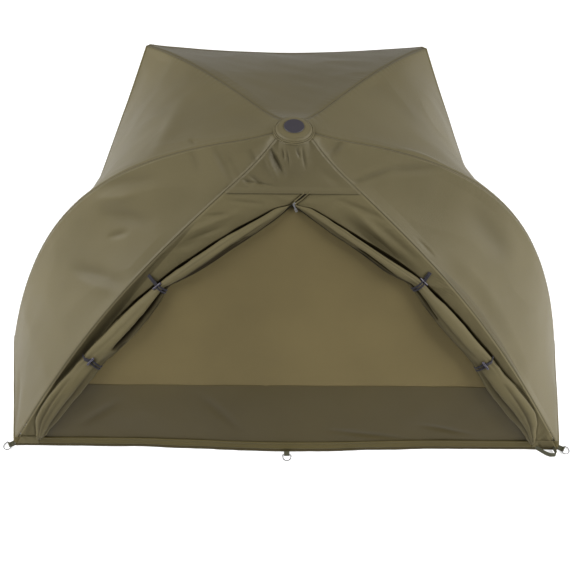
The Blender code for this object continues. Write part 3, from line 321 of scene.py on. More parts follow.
def wall_edge(t):
    """Half width, y and z of the door wall at the rear rib's band."""
    return [np.interp(t, FINE, column) for column in (-WALL_LINE[:, 0], WALL_LINE[:, 1],
                                                      WALL_LINE[:, 2])]


def wall_normal(t):
    slope = np.gradient(WALL_LINE[:, 1:], axis=0)
    fall_y, fall_z = np.interp(t, FINE, slope[:, 0]), np.interp(t, FINE, slope[:, 1])
    size = np.hypot(fall_y, fall_z)
    return np.stack([np.zeros_like(fall_y), fall_z / size, -fall_y / size], axis=-1)


def wall(t, x, layer=0.0):
    """Points of the sloping door wall at shares t, x to the right of the middle."""
    t, x = np.broadcast_arrays(np.asarray(t, float), np.asarray(x, float))
    half, y, z = wall_edge(t)
    low = np.maximum(0.0, (t - MUD_TOP) / (1 - MUD_TOP))
    inside = clamp(np.abs(x) / BULGE_HALF_SPAN)
    bulge = WALL_BULGE * low * (1 + np.cos(pi * inside)) / 2
    p = np.stack([x, y - bulge, z], axis=-1)
    inset = half - np.abs(x)
    hold = clamp(inset / 0.06) * clamp(t / 0.12) * clamp((1 - t) / 0.05)
    uneven = (ripples(p, 71, 0.50) * 0.0026 + ripples(p, 72, 0.16) * 0.0007) * hold
    folded = gully(inset, t, LEFT_GULLY) * (x < 0)
    return p + wall_normal(t) * (np.asarray(layer, float) + uneven + folded)[..., None]


# Folds, ripples and puckers in the cloth

def grid_normals(p, outward):
    along, down = np.gradient(p, axis=1), np.gradient(p, axis=0)
    n = unit(np.cross(along, down))
    facing = (n * outward).sum(axis=-1).mean()
    return n if facing > 0 else -n


def fold_height(p, start, end, width, depth, lean=0.0):
    """A soft fold along a line, tapered at both ends. A lean makes one of its sides steeper."""
    start, end = np.array(start), np.array(end)
    run = end - start
    length = np.linalg.norm(run)
    run = run / length
    offset = p - start
    along = offset @ run / length
    past = 0.12
    away = offset - np.clip(along, -past, 1 + past)[..., None] * length * run
    distance = np.linalg.norm(away, axis=-1)
    side = np.sign(np.cross(run, offset)[..., 1])
    ends = np.sin(pi * clamp((along + past) / (1 + 2 * past))) ** 1.3
    x = distance / width
    shape = np.exp(-x * x) * (1 + lean * side * np.minimum(x, 2.0))
    return depth * shape * ends


def creases(p, seed, size):
    """Sharp-edged ripples, as in cloth that was folded."""
    bend = ripples(p, seed, size * 2.0)
    return 1 - 2 * np.abs(ripples(p + bend[..., None] * size * 0.2, seed + 1, size))


# Meshes

def arc(p, axis):
    step = np.linalg.norm(np.diff(p, axis=axis), axis=-1)
    total = np.cumsum(step, axis=axis)
    pad = [(0, 0), (0, 0)]
    pad[axis] = (1, 0)
    return np.pad(total, pad)


def add_object(name, data):
    made = bpy.data.objects.new(name, data)
    bpy.context.scene.collection.objects.link(made)
    return made


def grid_object(name, p, outward, closed=False, hollow=None, join=None):
    """A mesh on a grid of points, with a UV map that holds lengths along it in metres. Painted
    shade says how far each point's colour is darkened toward a near-black to stand for shade,
    from 0 to 1, and join is the column where another half of the same cloth starts."""
    rows, columns = p.shape[:2]
    index = np.arange(rows * columns).reshape(rows, columns)
    u = arc(p, 1)
    v = arc(p, 0)
    middle = columns // 2 if join is None else join
    u = u - u[:, middle:middle + 1]
    if closed:
        index = np.concatenate([index, index[:, :1]], axis=1)
        gap = np.linalg.norm(p[:, :1] - p[:, -1:], axis=-1)
        u = np.concatenate([u, u[:, -1:] + gap], axis=1)
        v = np.concatenate([v, v[:, :1]], axis=1)
    v = np.broadcast_to(v.mean(axis=1, keepdims=True), v.shape)
    faces = np.stack([index[:-1, :-1], index[:-1, 1:], index[1:, 1:], index[1:, :-1]], axis=-1)
    faces = faces.reshape(-1, 4)
    uv = np.stack([u, v], axis=-1)
    corners = np.stack([uv[:-1, :-1], uv[:-1, 1:], uv[1:, 1:], uv[1:, :-1]], axis=2)
    corners = corners.reshape(-1, 2)
    across = p[1:, 1:] - p[:-1, :-1]
    other = p[1:, :-1] - p[:-1, 1:]
    normal = np.cross(other, across)
    if not closed:
        wrong = (normal * np.asarray(outward)).sum() < 0
    else:
        centre = p.mean(axis=1, keepdims=True)
        wrong = (normal * (p[:-1, :-1] - centre[:-1])).sum() < 0
    if wrong:
        faces = faces[:, ::-1]
        corners = corners.reshape(-1, 4, 2)[:, ::-1].reshape(-1, 2)
    mesh = bpy.data.meshes.new(name)
    mesh.from_pydata((p.reshape(-1, 3) + HUB_PLACE).tolist(), [], faces.tolist())
    layer = mesh.uv_layers.new(name="cloth")
    layer.data.foreach_set("uv", np.ascontiguousarray(corners, np.float32).ravel())
    if hollow is not None:
        # The painted shade, kept as a point attribute
        deep = mesh.attributes.new("hollow", "FLOAT", "POINT")
        deep.data.foreach_set("value", np.ascontiguousarray(hollow, np.float32).ravel())
    mesh.shade_smooth()
    if join is not None:
        ends = np.array([edge.vertices for edge in mesh.edges])
        sharp = mesh.attributes.new("sharp_edge", "BOOLEAN", "EDGE")
        sharp.data.foreach_set("value", (ends % columns == join).all(axis=1))
    return add_object(name, mesh)


def thicken(obj, thickness, offset):
    solid = obj.modifiers.new("thickness", "SOLIDIFY")
    solid.thickness = thickness
    solid.offset = offset
    return obj


def from_bmesh(name, bm, weld=True):
    if weld:
        bmesh.ops.remove_doubles(bm, verts=bm.verts, dist=0.00001)
    bmesh.ops.recalc_face_normals(bm, faces=bm.faces)
    mesh = bpy.data.meshes.new(name)
    bm.to_mesh(mesh)
    bm.free()
    return add_object(name, mesh)


def declare(p):
    """Works out the width, length and area of a sheet of cloth from its grid, and keeps none of them.
    """
    width = float(arc(p, 1)[:, -1].max())
    length = float(arc(p, 0)[-1].max())
    a, b = p[1:, 1:] - p[:-1, :-1], p[1:, :-1] - p[:-1, 1:]
    area = float(np.linalg.norm(np.cross(a, b), axis=-1).sum() / 2)
    area = min(max(area, 0.3 * width * length), width * length)


def fold_with(piece, rib):
    """Gives a piece its own copy of its mesh; the rib's pin is worked out but not used."""
    pin = rib.place(PIN) + HUB_PLACE
    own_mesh(piece)


def hang_on(piece, rib, nodes=()):
    """A piece that goes with a rib, with its own copy of its mesh; the nodes it stands for are hidden.
    """
    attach(piece, "rib_" + rib.name)
    fold_with(piece, rib)
    if nodes:
        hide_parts(*nodes)


def cloth_piece(name, p, outward, key, rib, held, rests_on, nodes=(), thickness=CLOTH,
                offset=-1.0, **grid):
    """A sheet of cloth on a grid of points, which goes with a rib."""
    piece = dress(thicken(grid_object(name, p, outward, **grid), thickness, offset), key)
    hang_on(piece, rib, nodes)
    declare(p)


# Materials

WHITE = (1.0, 1.0, 1.0, 1.0)
# The near-black that painted shade darkens the cloth toward
PAINTED_SHADE_COLOUR = (0.010, 0.006, 0.0005, 1.0)
# Places of the colour sockets on a mixing node
FIRST_COLOUR, SECOND_COLOUR, MIXED_COLOUR = 6, 7, 2


class Level:
    """A value in a shader that takes part in arithmetic."""

    def __init__(self, finish, socket):
        self.finish, self.socket = finish, socket

    def work(self, operation, other=None, first=None):
        node = self.finish.tree.nodes.new("ShaderNodeMath")
        node.operation = operation
        for place, value in zip(node.inputs, (self, other) if first is None else (first, self)):
            if value is not None:
                self.finish.feed(place, value)
        return Level(self.finish, node.outputs[0])

    def __add__(self, other):
        return self.work("ADD", other)

    __radd__ = __add__

    def __mul__(self, other):
        return self.work("MULTIPLY", other)

    __rmul__ = __mul__

    def __sub__(self, other):
        return self.work("SUBTRACT", other)

    def __rsub__(self, other):
        return self.work("SUBTRACT", first=other)

    def wave(self):
        return self.work("SINE")

    def size(self):
        return self.work("ABSOLUTE")

    def ramp(self, low, high, start=0.0, end=1.0):
        node = self.finish.add("ShaderNodeMapRange", {"interpolation_type": "SMOOTHSTEP"},
                               {"Value": self, "From Min": low, "From Max": high,
                                "To Min": start, "To Max": end})
        return Level(self.finish, node.outputs["Result"])


class Finish:
    """A procedural material under construction."""

    def __init__(self, name, roughness=0.6, metallic=0.0, **numbers):
        self.material = bpy.data.materials.new(name)
        self.material.use_nodes = True
        self.tree = self.material.node_tree
        self.shader = self.tree.nodes["Principled BSDF"]
        self.shader.inputs["Roughness"].default_value = roughness
        self.shader.inputs["Metallic"].default_value = metallic
        for words, value in numbers.items():
            self.shader.inputs[words.replace("_", " ")].default_value = value

    def feed(self, place, value):
        if isinstance(value, Level):
            self.tree.links.new(value.socket, place)
        elif isinstance(value, bpy.types.NodeSocket):
            self.tree.links.new(value, place)
        else:
            place.default_value = value

    def add(self, kind, settings, sockets):
        node = self.tree.nodes.new(kind)
        for name, value in settings.items():
            setattr(node, name, value)
        for name, value in sockets.items():
            self.feed(node.inputs[name], value)
        return node

    def coordinates(self, kind="Object"):
        return self.add("ShaderNodeTexCoord", {}, {}).outputs[kind]

    def part(self, vector, axis):
        node = self.add("ShaderNodeSeparateXYZ", {}, {"Vector": vector})
        return Level(self, node.outputs[axis])

    def noise(self, vector, scale, detail=3.0, roughness=0.55):
        node = self.add("ShaderNodeTexNoise", {}, {"Vector": vector, "Scale": scale,
                                                   "Detail": detail, "Roughness": roughness})
        return Level(self, node.outputs["Fac"])

    def stretch(self, vector, scale):
        node = self.add("ShaderNodeMapping", {}, {"Vector": vector, "Scale": scale})
        return node.outputs["Vector"]

    def blend(self, factor, first, second):
        node = self.add("ShaderNodeMix", {"data_type": "RGBA"}, {"Factor": factor})
        self.feed(node.inputs[FIRST_COLOUR], first)
        self.feed(node.inputs[SECOND_COLOUR], second)
        return node.outputs[MIXED_COLOUR]

    def colour(self, value):
        self.feed(self.shader.inputs["Base Color"], value)

    def rough(self, value):
        self.feed(self.shader.inputs["Roughness"], value)

    def bump(self, height, distance, strength=1.0):
        node = self.add("ShaderNodeBump", {}, {"Height": height, "Distance": distance,
                                                "Strength": strength})
        self.feed(self.shader.inputs["Normal"], node.outputs["Normal"])


def shade(colour, factor):
    return (*(min(1.0, c * factor) for c in colour), 1.0)


def cloth(name, colour, grey, pitch, roughness, sheen, lustre=0.22):
    """Woven nylon: a fine weave, faint clouding and slubs, a soft sheen, and painted shade."""
    made = Finish(name, roughness=roughness, Sheen_Weight=sheen, Sheen_Roughness=0.45,
                  Specular_IOR_Level=lustre)
    place = made.coordinates()
    uv = made.coordinates("UV")
    turn = 2 * pi / pitch
    along, down = made.part(uv, "X"), made.part(uv, "Y")
    warp, weft = (along * turn).wave(), (down * turn).wave()
    weave = warp * weft
    spots = 0.10
    cloud = made.noise(place, 2.4, 4.0, 0.5)
    slub = made.noise(made.stretch(uv, (60.0, 900.0, 1.0)), 1.0, 2.0)
    grain = made.noise(place, 900.0, 2.0)
    tone = cloud * 0.55 + slub * 0.25 + grain * 0.20
    mixed = made.blend(tone.ramp(0.30, 0.70), shade(colour, 1 - spots), shade(colour, 1 + spots))
    worn = made.noise(place, 7.0, 5.0, 0.6).ramp(0.58, 0.80)
    top = made.blend(worn * 0.35, mixed, (*grey, 1.0))
    # Painted shade: a point attribute darkens the cloth toward a near-black in folds, gaps and seams
    # and where the cloth turns from the light
    hollow = made.add("ShaderNodeAttribute", {"attribute_name": "hollow"}, {}).outputs["Fac"]
    made.colour(made.blend(hollow, top, PAINTED_SHADE_COLOUR))
    made.rough(roughness + (cloud - 0.5) * 0.18 + weave * 0.03)
    made.bump(weave * 0.5 + grain * 0.5 + slub * 0.6, 0.00018, 0.55)
    return made.material


def netting(name, colour, pitch):
    """Fine mosquito netting: knitted threads, with painted shade in the small holes between them."""
    made = Finish(name, roughness=0.75, Specular_IOR_Level=0.2)
    uv = made.coordinates("UV")
    turn = pi / pitch
    along, down = made.part(uv, "X"), made.part(uv, "Y")
    hole = ((along * turn).wave() * (down * turn).wave()).size().ramp(0.25, 0.65)
    place = made.coordinates()
    cloud = made.noise(place, 1.6, 3.0, 0.5)
    thread = made.blend(cloud.ramp(0.25, 0.75), shade(colour, 1.30), shade(colour, 1.75))
    # Painted shade in the holes between the threads
    made.colour(made.blend(hole, thread, shade(colour, 0.42)))
    made.bump(1 - hole, 0.0003, 0.6)
    return made.material


def webbing(name, colour, pitch=0.0016):
    """Flat woven strap: chevron ribs along its length and a tight edge."""
    made = Finish(name, roughness=0.8, Sheen_Weight=0.06, Specular_IOR_Level=0.25)
    uv = made.coordinates("UV")
    along, down = made.part(uv, "X"), made.part(uv, "Y")
    turn = 2 * pi / pitch
    ribs = (along * turn + (down * turn * 0.5).wave()).wave()
    picks = (down * turn).wave()
    fuzz = made.noise(made.coordinates(), 1400.0, 3.0)
    height = ribs * 0.5 + picks * 0.3 + fuzz * 0.4
    # Painted shade and highlight: the colour follows the weave's height, darker in its grooves and
    # lighter on its ribs
    made.colour(made.blend(height.ramp(-0.6, 0.9), shade(colour, 0.6), shade(colour, 1.35)))
    made.bump(height, 0.0003, 0.7)
    return made.material


def moulded(name, colour, roughness=0.45, grain=700.0, wear=1.5):
    """Moulded plastic or rubber with a fine spark-eroded grain and paler worn edges."""
    made = Finish(name, roughness=roughness)
    place = made.coordinates()
    fine = made.noise(place, grain, 4.0)
    scuff = made.noise(place, 40.0, 5.0, 0.65).ramp(0.55, 0.75)
    edge = made.add("ShaderNodeNewGeometry", {}, {}).outputs["Pointiness"]
    worn = Level(made, edge).ramp(0.50, 0.56)
    mixed = made.blend(scuff * 0.5 + worn * 0.5, shade(colour, 1.0), shade(colour, wear))
    made.colour(mixed)
    made.rough(roughness + (fine - 0.5) * 0.2)
    made.bump(fine, 0.0002, 0.5)
    return made.material


def metal(name, colour, roughness=0.3, scratch=(30.0, 30.0, 1200.0)):
    """Bare metal with fine drawn lines and a slightly dulled surface."""
    made = Finish(name, roughness=roughness, metallic=1.0)
    place = made.coordinates()
    lines = made.noise(made.stretch(place, scratch), 1.0, 3.0)
    dull = made.noise(place, 60.0, 4.0, 0.6)
    made.colour(made.blend(dull.ramp(0.35, 0.75), shade(colour, 1.1), shade(colour, 0.72)))
    made.rough(roughness + (lines - 0.5) * 0.25 + (dull - 0.5) * 0.2)
    made.bump(lines, 0.00006, 0.4)
    return made.material


def glass_fibre(name, colour):
    """Pultruded rod: long fibres under a satin skin."""
    made = Finish(name, roughness=0.35, Coat_Weight=0.3, Coat_Roughness=0.3)
    place = made.coordinates()
    fibres = made.noise(made.stretch(place, (900.0, 900.0, 30.0)), 1.0, 4.0)
    made.colour(made.blend(fibres.ramp(0.3, 0.7), shade(colour, 0.7), shade(colour, 1.5)))
    made.rough(0.35 + (fibres - 0.5) * 0.2)
    made.bump(fibres, 0.0001, 0.4)
    return made.material


OLIVE = (0.120, 0.101, 0.051)
CLOTH_WEAVE = 0.0007
MATERIALS = {
    "canopy": cloth("canopy_cloth", OLIVE, (0.135, 0.116, 0.066), CLOTH_WEAVE, 0.52, 0.04),
    "door": cloth("door_cloth", OLIVE, (0.135, 0.116, 0.066), CLOTH_WEAVE, 0.60, 0.0, lustre=0.10),
    "mud": cloth("mud_flap_cloth", (0.066, 0.051, 0.018), (0.074, 0.059, 0.024), 0.0009, 0.50,
                 0.06),
    "hem": cloth("hem_binding", (0.090, 0.071, 0.023), (0.099, 0.080, 0.032), 0.0014, 0.62, 0.08),
    "net": netting("window_mesh", (0.133, 0.104, 0.044), 0.0016),
    "strap": webbing("webbing", (0.070, 0.068, 0.040)),
    "dark_strap": webbing("dark_elastic", (0.020, 0.018, 0.024), 0.0012),
    "zip": webbing("zip_tape", (0.014, 0.011, 0.004), 0.0010),
    "thread": cloth("thread", (0.086, 0.072, 0.036), (0.100, 0.084, 0.046), 0.0005, 0.7, 0.0),
    "plastic": moulded("dark_plastic", (0.022, 0.020, 0.024)),
    "toggle": moulded("toggle_plastic", (0.030, 0.026, 0.040), 0.3, 900.0, 2.2),
    "patch": moulded("patch_rubber", (0.034, 0.030, 0.038), 0.55, 1200.0, 1.3),
    "rubber": moulded("foot_rubber", (0.030, 0.030, 0.028), 0.75, 500.0, 1.3),
    "steel": metal("bright_metal", (0.56, 0.56, 0.57)),
    "wire": metal("ring_wire", (0.22, 0.22, 0.22), 0.50, (300.0, 300.0, 300.0)),
    "rod": glass_fibre("rib_rod_green", (0.045, 0.048, 0.030)),
}


def dress(obj, key):
    obj.data.materials.clear()
    obj.data.materials.append(MATERIALS[key])
    return obj


# Canopy panels

ROW_COUNT = 170
COLUMN_COUNT = 110
# Each fold, in millimetres: where it starts and ends, its width and its height; a dip has a
# height below zero.
FOLDS = {
    "rear_side_left": (((-328, -55, 1194), (-246, -137, 1083), 16, -8),
                       ((-350, -62, 1185), (-275, -155, 1065), 16, 5),
                       ((-279, -63, 1175), (-215, -125, 1100), 12, -6),
                       ((-422, -56, 1178), (-382, -112, 1108), 14, -5),
                       ((-178, -56, 1180), (-140, -100, 1140), 10, -6),
                       ((-813, -104, 1008), (-555, -122, 1087), 30, -7),
                       ((-805, -144, 972), (-653, -159, 1013), 20, 5),
                       ((-794, -172, 934), (-587, -236, 932), 35, -9),
                       ((-775, -242, 850), (-687, -247, 887), 13, -6),
                       ((-942, -280, 689), (-710, -396, 732), 35, -9),
                       ((-950, -310, 660), (-720, -420, 700), 30, 6),
                       ((-1280, -400, 120), (-1255, -650, 35), 20, -7)),
    "rear_side_right": (((140, -75, 1168), (200, -36, 1210), 14, -8),
                        ((165, -80, 1170), (225, -45, 1205), 12, 5),
                        ((245, -150, 1078), (388, -106, 1117), 14, -8),
                        ((388, -106, 1117), (616, -82, 1120), 18, -6),
                        ((274, -125, 1094), (435, -80, 1155), 16, 5),
                        ((240, -150, 1078), (283, -130, 1088), 8, -5),
                        ((500, -260, 905), (591, -321, 843), 8, -5),
                        ((747, -167, 955), (955, -240, 721), 50, -7)),
    "side_front_left": (((-485, 435, 1042), (-579, -38, 1125), 50, 12),
                        ((-428, 40, 1151), (-401, -30, 1170), 8, -5)),
    "side_front_right": (((435, -30, 1170), (625, -50, 1120), 20, 6),),
    "door_header": (((-100, -62, 1210), (-35, -134, 1115), 10, -14),
                    ((-122, -66, 1190), (-62, -146, 1096), 12, 10),
                    ((-190, -120, 1110), (-123, -156, 1081), 9, -10),
                    ((-215, -130, 1098), (-164, -157, 1080), 10, -9),
                    ((-197, -147, 1092), (-74, -160, 1077), 6, -6),
                    ((-48, -80, 1215), (-36, -104, 1170), 6, -6),
                    ((-29, -88, 1211), (-15, -118, 1152), 6, -6),
                    ((7, -88, 1222), (25, -103, 1182), 6, -6),
                    ((32, -82, 1223), (47, -116, 1140), 7, -6),
                    ((108, -117, 1130), (212, -163, 1074), 20, -5)),
    "flap_left": (((-452, -291, 921), (-217, -228, 1000), 14, 7),
                  ((-452, -309, 897), (-278, -267, 952), 10, -5),
                  ((-266, -198, 1034), (-127, -208, 1022), 8, -4),
                  ((-361, -242, 984), (-250, -235, 991), 10, -5),
                  ((-498, -329, 870), (-361, -300, 913), 16, -5)),
    "flap_right": (((205, -240, 988), (500, -376, 812), 26, -15),
                   ((248, -222, 1007), (441, -337, 859), 14, 7),
                   ((185, -195, 1040), (394, -245, 972), 12, -6),
                   ((339, -255, 971), (534, -354, 836), 14, -6)),
    "mud_flap": (((193, -735, 105), (561, -752, 52), 12, -5),
                 ((600, -718, 127), (833, -733, 77), 12, -5),
                 ((-748, -670, 242), (-939, -721, 108), 20, -5),
                 ((-392, -660, 274), (-214, -737, 104), 20, -4)),
}
FOLDS = {name: in_metres(rows) for name, rows in FOLDS.items()}
CROWN_RADII = (0.052, 0.064, 0.076)
# Each panel: the ribs at its first and its last column, the nodes it takes the place of, and
# the seed of its ripples. It rides the first rib.
PANELS = (
    ("rear_side_left", "rear_left", "side_left", ["canopy_rear_left"], 15),
    ("side_front_left", "side_left", "front_left", ["canopy_side_left"], 35),
    ("rear_side_right", "rear_right", "side_right", ["canopy_rear_right"], 16),
    ("side_front_right", "side_right", "front_right", ["canopy_side_right"], 36),
    ("front", "front_left", "front_right", ["canopy_front_left", "canopy_front_right"], 51),
)


def seam_columns(rib, other, t, asides=SEAM_COLUMNS):
    """Columns of points on the band of a rib, beside the seam toward another rib."""
    return [rib.band(t, other, aside)[:, None] for aside in asides]


def with_seams(first, second, t, p):
    """Cloth between two ribs, with columns at both seams and level rows under the cap."""
    lead, tail = seam_columns(first, second, t), seam_columns(second, first, t)
    p = over_crown(np.concatenate([*lead, p, *tail[::-1]], axis=1))
    direction = unit(p[0] * np.array((1.0, 1.0, 0.0)))
    inner = np.stack([direction * radius + UP * CANOPY_TOP for radius in CROWN_RADII])
    reach = np.hypot(p[0, :, 0], p[0, :, 1])
    inner[..., :2] *= np.minimum(1.0, (reach - 0.003) / CROWN_RADII[-1])[:, None]
    return np.concatenate([inner, p])


def folds_in(p, key, hold):
    """The height of a cloth's folds at each point, and how deep its dips are."""
    heights = [fold_height(p, *fold) for fold in FOLDS.get(key, ())]
    flat = np.zeros(p.shape[:-1])
    return (sum((height * hold for height in heights), flat),
            -sum((np.minimum(height, 0.0) for height in heights), flat))


def groove(edge):
    """How far the line of a seam is drawn in, at distances from it."""
    return 0.0009 * bell(edge, 0.0, 0.0022)


# Painted shade along the line of a seam
def with_painted_seam_shade(hollow, edge):
    return np.maximum(hollow, SEAM_LINE_PAINTED_SHADE * bell(edge, 0.0, 0.0026))


def seam_puckers(p, distance, v, seed, depth=0.0010, reach=0.030, pitch=0.034):
    """Small gathers beside a sewn seam."""
    phase = ripples(p, seed, 0.35) * 4.0
    strength = 0.5 + 0.5 * ripples(p, seed + 5, 0.22)
    return depth * strength * np.exp(-distance / reach) * np.sin(2 * pi * v / pitch + phase)


def panel(name, first, second, nodes, seed, course=None):
    """A panel of the canopy; a course is the line of a fold beside its first seam."""
    t = np.linspace(0.0, 1.0, ROW_COUNT) ** 1.1
    share = (1 - np.cos(np.linspace(0.0, pi, COLUMN_COUNT))) / 2 * 0.35 \
        + np.linspace(0.0, 1.0, COLUMN_COUNT) * 0.65
    p = with_seams(first, second, t, between(first, second, t, share))
    outward = unit(first.out + second.out) + UP
    n = grid_normals(p, outward)
    u, v = arc(p, 1), arc(p, 0)
    edge = np.minimum(u, u[:, -1:] - u)
    hold = clamp((edge - 0.004) / 0.05) * np.clip(v / 0.15, 0.05, 1.0)
    rim = clamp((v[-1:] - v) / 0.05)
    rise = (ripples(p, seed, 0.60) * 0.0052 + creases(p, seed + 3, 0.40) * 0.0020
            + ripples(p * np.array((1.0, 1.0, 0.5)), seed + 7, 0.14) * 0.0009)
    rise = rise * hold * (0.3 + 0.7 * rim)
    if course is not None:
        shares = np.concatenate([np.zeros(len(CROWN_RADII)), t])[:, None]
        rise = rise + gully(np.maximum(u - BAND_HALF_WIDTH, 0.0), shares, course, back=0.10)
    rise = rise + seam_puckers(p, np.maximum(edge - 0.004, 0.0), v, seed) \
        * clamp(edge / 0.006) * rim
    folds, dips = folds_in(p, name, clamp(edge / 0.015))
    rise = rise + folds - groove(edge) * clamp(v / 0.1)
    # Painted shade in the dips of folds and in a thin strip beside each seam
    hollow = np.clip(dips / 0.050, 0.0, 0.12) + 0.10 * bell(edge, 0.0075, 0.0045)
    hollow = with_painted_seam_shade(hollow, edge)
    # Painted shade over all of the front panel
    if name == "front":
        hollow = np.maximum(hollow, LEVEL_PAINTED_SHADE)
    # Painted shade in the fold beside the first seam
    if course is not None:
        band = eased(shares, *course)
        hollow = np.maximum(hollow, 0.30 * clamp(band / 0.014)
                            * clamp((band + BAND_HALF_WIDTH - u) / 0.007 + 1))
    p = p + n * rise[..., None]
    cloth_piece("panel_" + name, p, outward, "canopy", first, "stretched",
                ["rib_rod_" + first.name, "rib_rod_" + second.name], nodes, hollow=hollow)
    return p


# Camera, light and floor

def make_camera():
    """A camera fitted to the photo."""
    lens = bpy.data.cameras.new("camera")
    lens.sensor_width = 36.0
    lens.lens = 57.39
    lens.shift_x = 0.0512
    camera = add_object("camera", lens)
    place = Vector((-0.1615, -2.8115, 3.7135))
    pitch, yaw, roll = radians(51.033), radians(0.299), radians(0.717)
    ahead = Vector((sin(yaw) * cos(pitch), cos(yaw) * cos(pitch), -sin(pitch)))
    level = Vector((cos(yaw), -sin(yaw), 0.0))
    above = level.cross(ahead)
    right = level * cos(roll) + above * sin(roll)
    up = above * cos(roll) - level * sin(roll)
    turn = Matrix((right, up, -ahead)).transposed().to_4x4()
    camera.matrix_world = Matrix.Translation(place + Vector(HUB_PLACE)) @ turn
    bpy.context.scene.camera = camera


def area_light(name, place, width, power):
    """A square white light that shines on the middle of the umbrella."""
    light = bpy.data.lights.new(name, "AREA")
    light.shape = "RECTANGLE"
    light.size = light.size_y = width
    light.energy = power
    made = add_object(name, light)
    way = Vector((0.0, 0.0, 0.6)) - Vector(place)
    turn = way.to_track_quat("-Z", "Y").to_matrix().to_4x4()
    made.matrix_world = Matrix.Translation(place) @ turn


def make_studio():
    """A white floor and surround, a large light on both sides and a weak one from above."""
    floor = bpy.data.meshes.new("floor")
    half = 30.0
    corners = ((-half, -half), (half, -half), (half, half), (-half, half))
    floor.from_pydata([(x, y, 0.0) for x, y in corners], [], [(0, 1, 2, 3)])
    made = add_object("floor", floor)
    paint = Finish("floor_paint", roughness=0.9, Specular_IOR_Level=0.1)
    place = paint.coordinates()
    speck = paint.noise(place, 3.0, 4.0)
    paint.colour(paint.blend(speck, (0.90, 0.90, 0.90, 1.0), (0.92, 0.92, 0.92, 1.0)))
    paint.shader.inputs["Emission Color"].default_value = WHITE
    paint.shader.inputs["Emission Strength"].default_value = 0.34
    made.data.materials.append(paint.material)
    world = bpy.data.worlds.new("studio")
    bpy.context.scene.world = world
    world.use_nodes = True
    tree = world.node_tree
    sky = tree.nodes["Background"]
    sky.inputs["Color"].default_value = WHITE
    sky.inputs["Strength"].default_value = 0.20
    white = tree.nodes.new("ShaderNodeBackground")
    white.inputs["Color"].default_value = WHITE
    path = tree.nodes.new("ShaderNodeLightPath")
    either = tree.nodes.new("ShaderNodeMath")
    either.operation = "MAXIMUM"
    tree.links.new(path.outputs["Is Camera Ray"], either.inputs[0])
    tree.links.new(path.outputs["Is Transmission Ray"], either.inputs[1])
    mix = tree.nodes.new("ShaderNodeMixShader")
    tree.links.new(either.outputs[0], mix.inputs[0])
    tree.links.new(sky.outputs[0], mix.inputs[1])
    tree.links.new(white.outputs[0], mix.inputs[2])
    tree.links.new(mix.outputs[0], tree.nodes["World Output"].inputs["Surface"])
    area_light("left_softbox", (-4.2, -0.7, 3.6), 3.0, 284.0)
    area_light("right_softbox", (4.4, -0.9, 3.2), 3.0, 290.0)
    area_light("high_fill", (0.0, -2.5, 4.8), 2.0, 6.0)
    bpy.context.scene.view_settings.view_transform = "Standard"


def dress_frame():
    """The looks of the pieces that are shown as the CAD has them."""
    finishes = {"hub_block": "plastic", "hub_top_plate": "steel", "lock_plunger": "steel",
                "release_button": "plastic"}
    for rib in RIBS:
        finishes["hinge_pin_" + rib] = "steel"
        finishes["rib_knuckle_" + rib] = "plastic"
        finishes["rib_rod_" + rib] = "rod"
        finishes["rib_foot_" + rib] = "rubber"
    for node, key in finishes.items():
        dress(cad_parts[node], key)


def make_spring():
    """The coil over the release plunger, at its rest length; the real one shortens as the button is
    pushed up.
    """
    low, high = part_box("lock_spring")
    wire, turns, travel = 0.0007, 4, 0.010
    radius = (high.x - low.x) / 2 - wire
    angle = np.linspace(0.0, 2 * pi * turns, 40 * turns)
    path = np.stack([radius * np.cos(angle), radius * np.sin(angle),
                     np.linspace(low.z + wire, high.z - wire, len(angle))], axis=1)
    piece = tube_object("release_spring", [(path, wire, False)], "steel", 8)
    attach(piece, "hub")
    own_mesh(piece)
    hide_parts("lock_spring")


def make_canopy():
    """The points of each panel, and the ribs at its first and its last column."""
    made = {}
    for name, first, second, nodes, seed in PANELS:
        course = RIGHT_GULLY if name == "rear_side_right" else None
        ribs = RIBS[first], RIBS[second]
        made[name] = (panel(name, *ribs, nodes, seed, course), *ribs)
    return made


# Rear wall

def in_halves(name, p, outward, hollow, key, held, nodes=None):
    """A full width of cloth as a left and a right half, each of which folds with its own rib."""
    middle = p.shape[1] // 2
    for word, columns, join in (("left", slice(None, middle + 1), middle),
                                ("right", slice(middle, None), 0)):
        cloth_piece(f"{name}_half_{word}", p[:, columns], outward, key, RIBS["rear_" + word], held,
                    ["rib_rod_rear_" + word], [f"{nodes}_{word}"] if nodes else (),
                    hollow=hollow[:, columns], join=join)


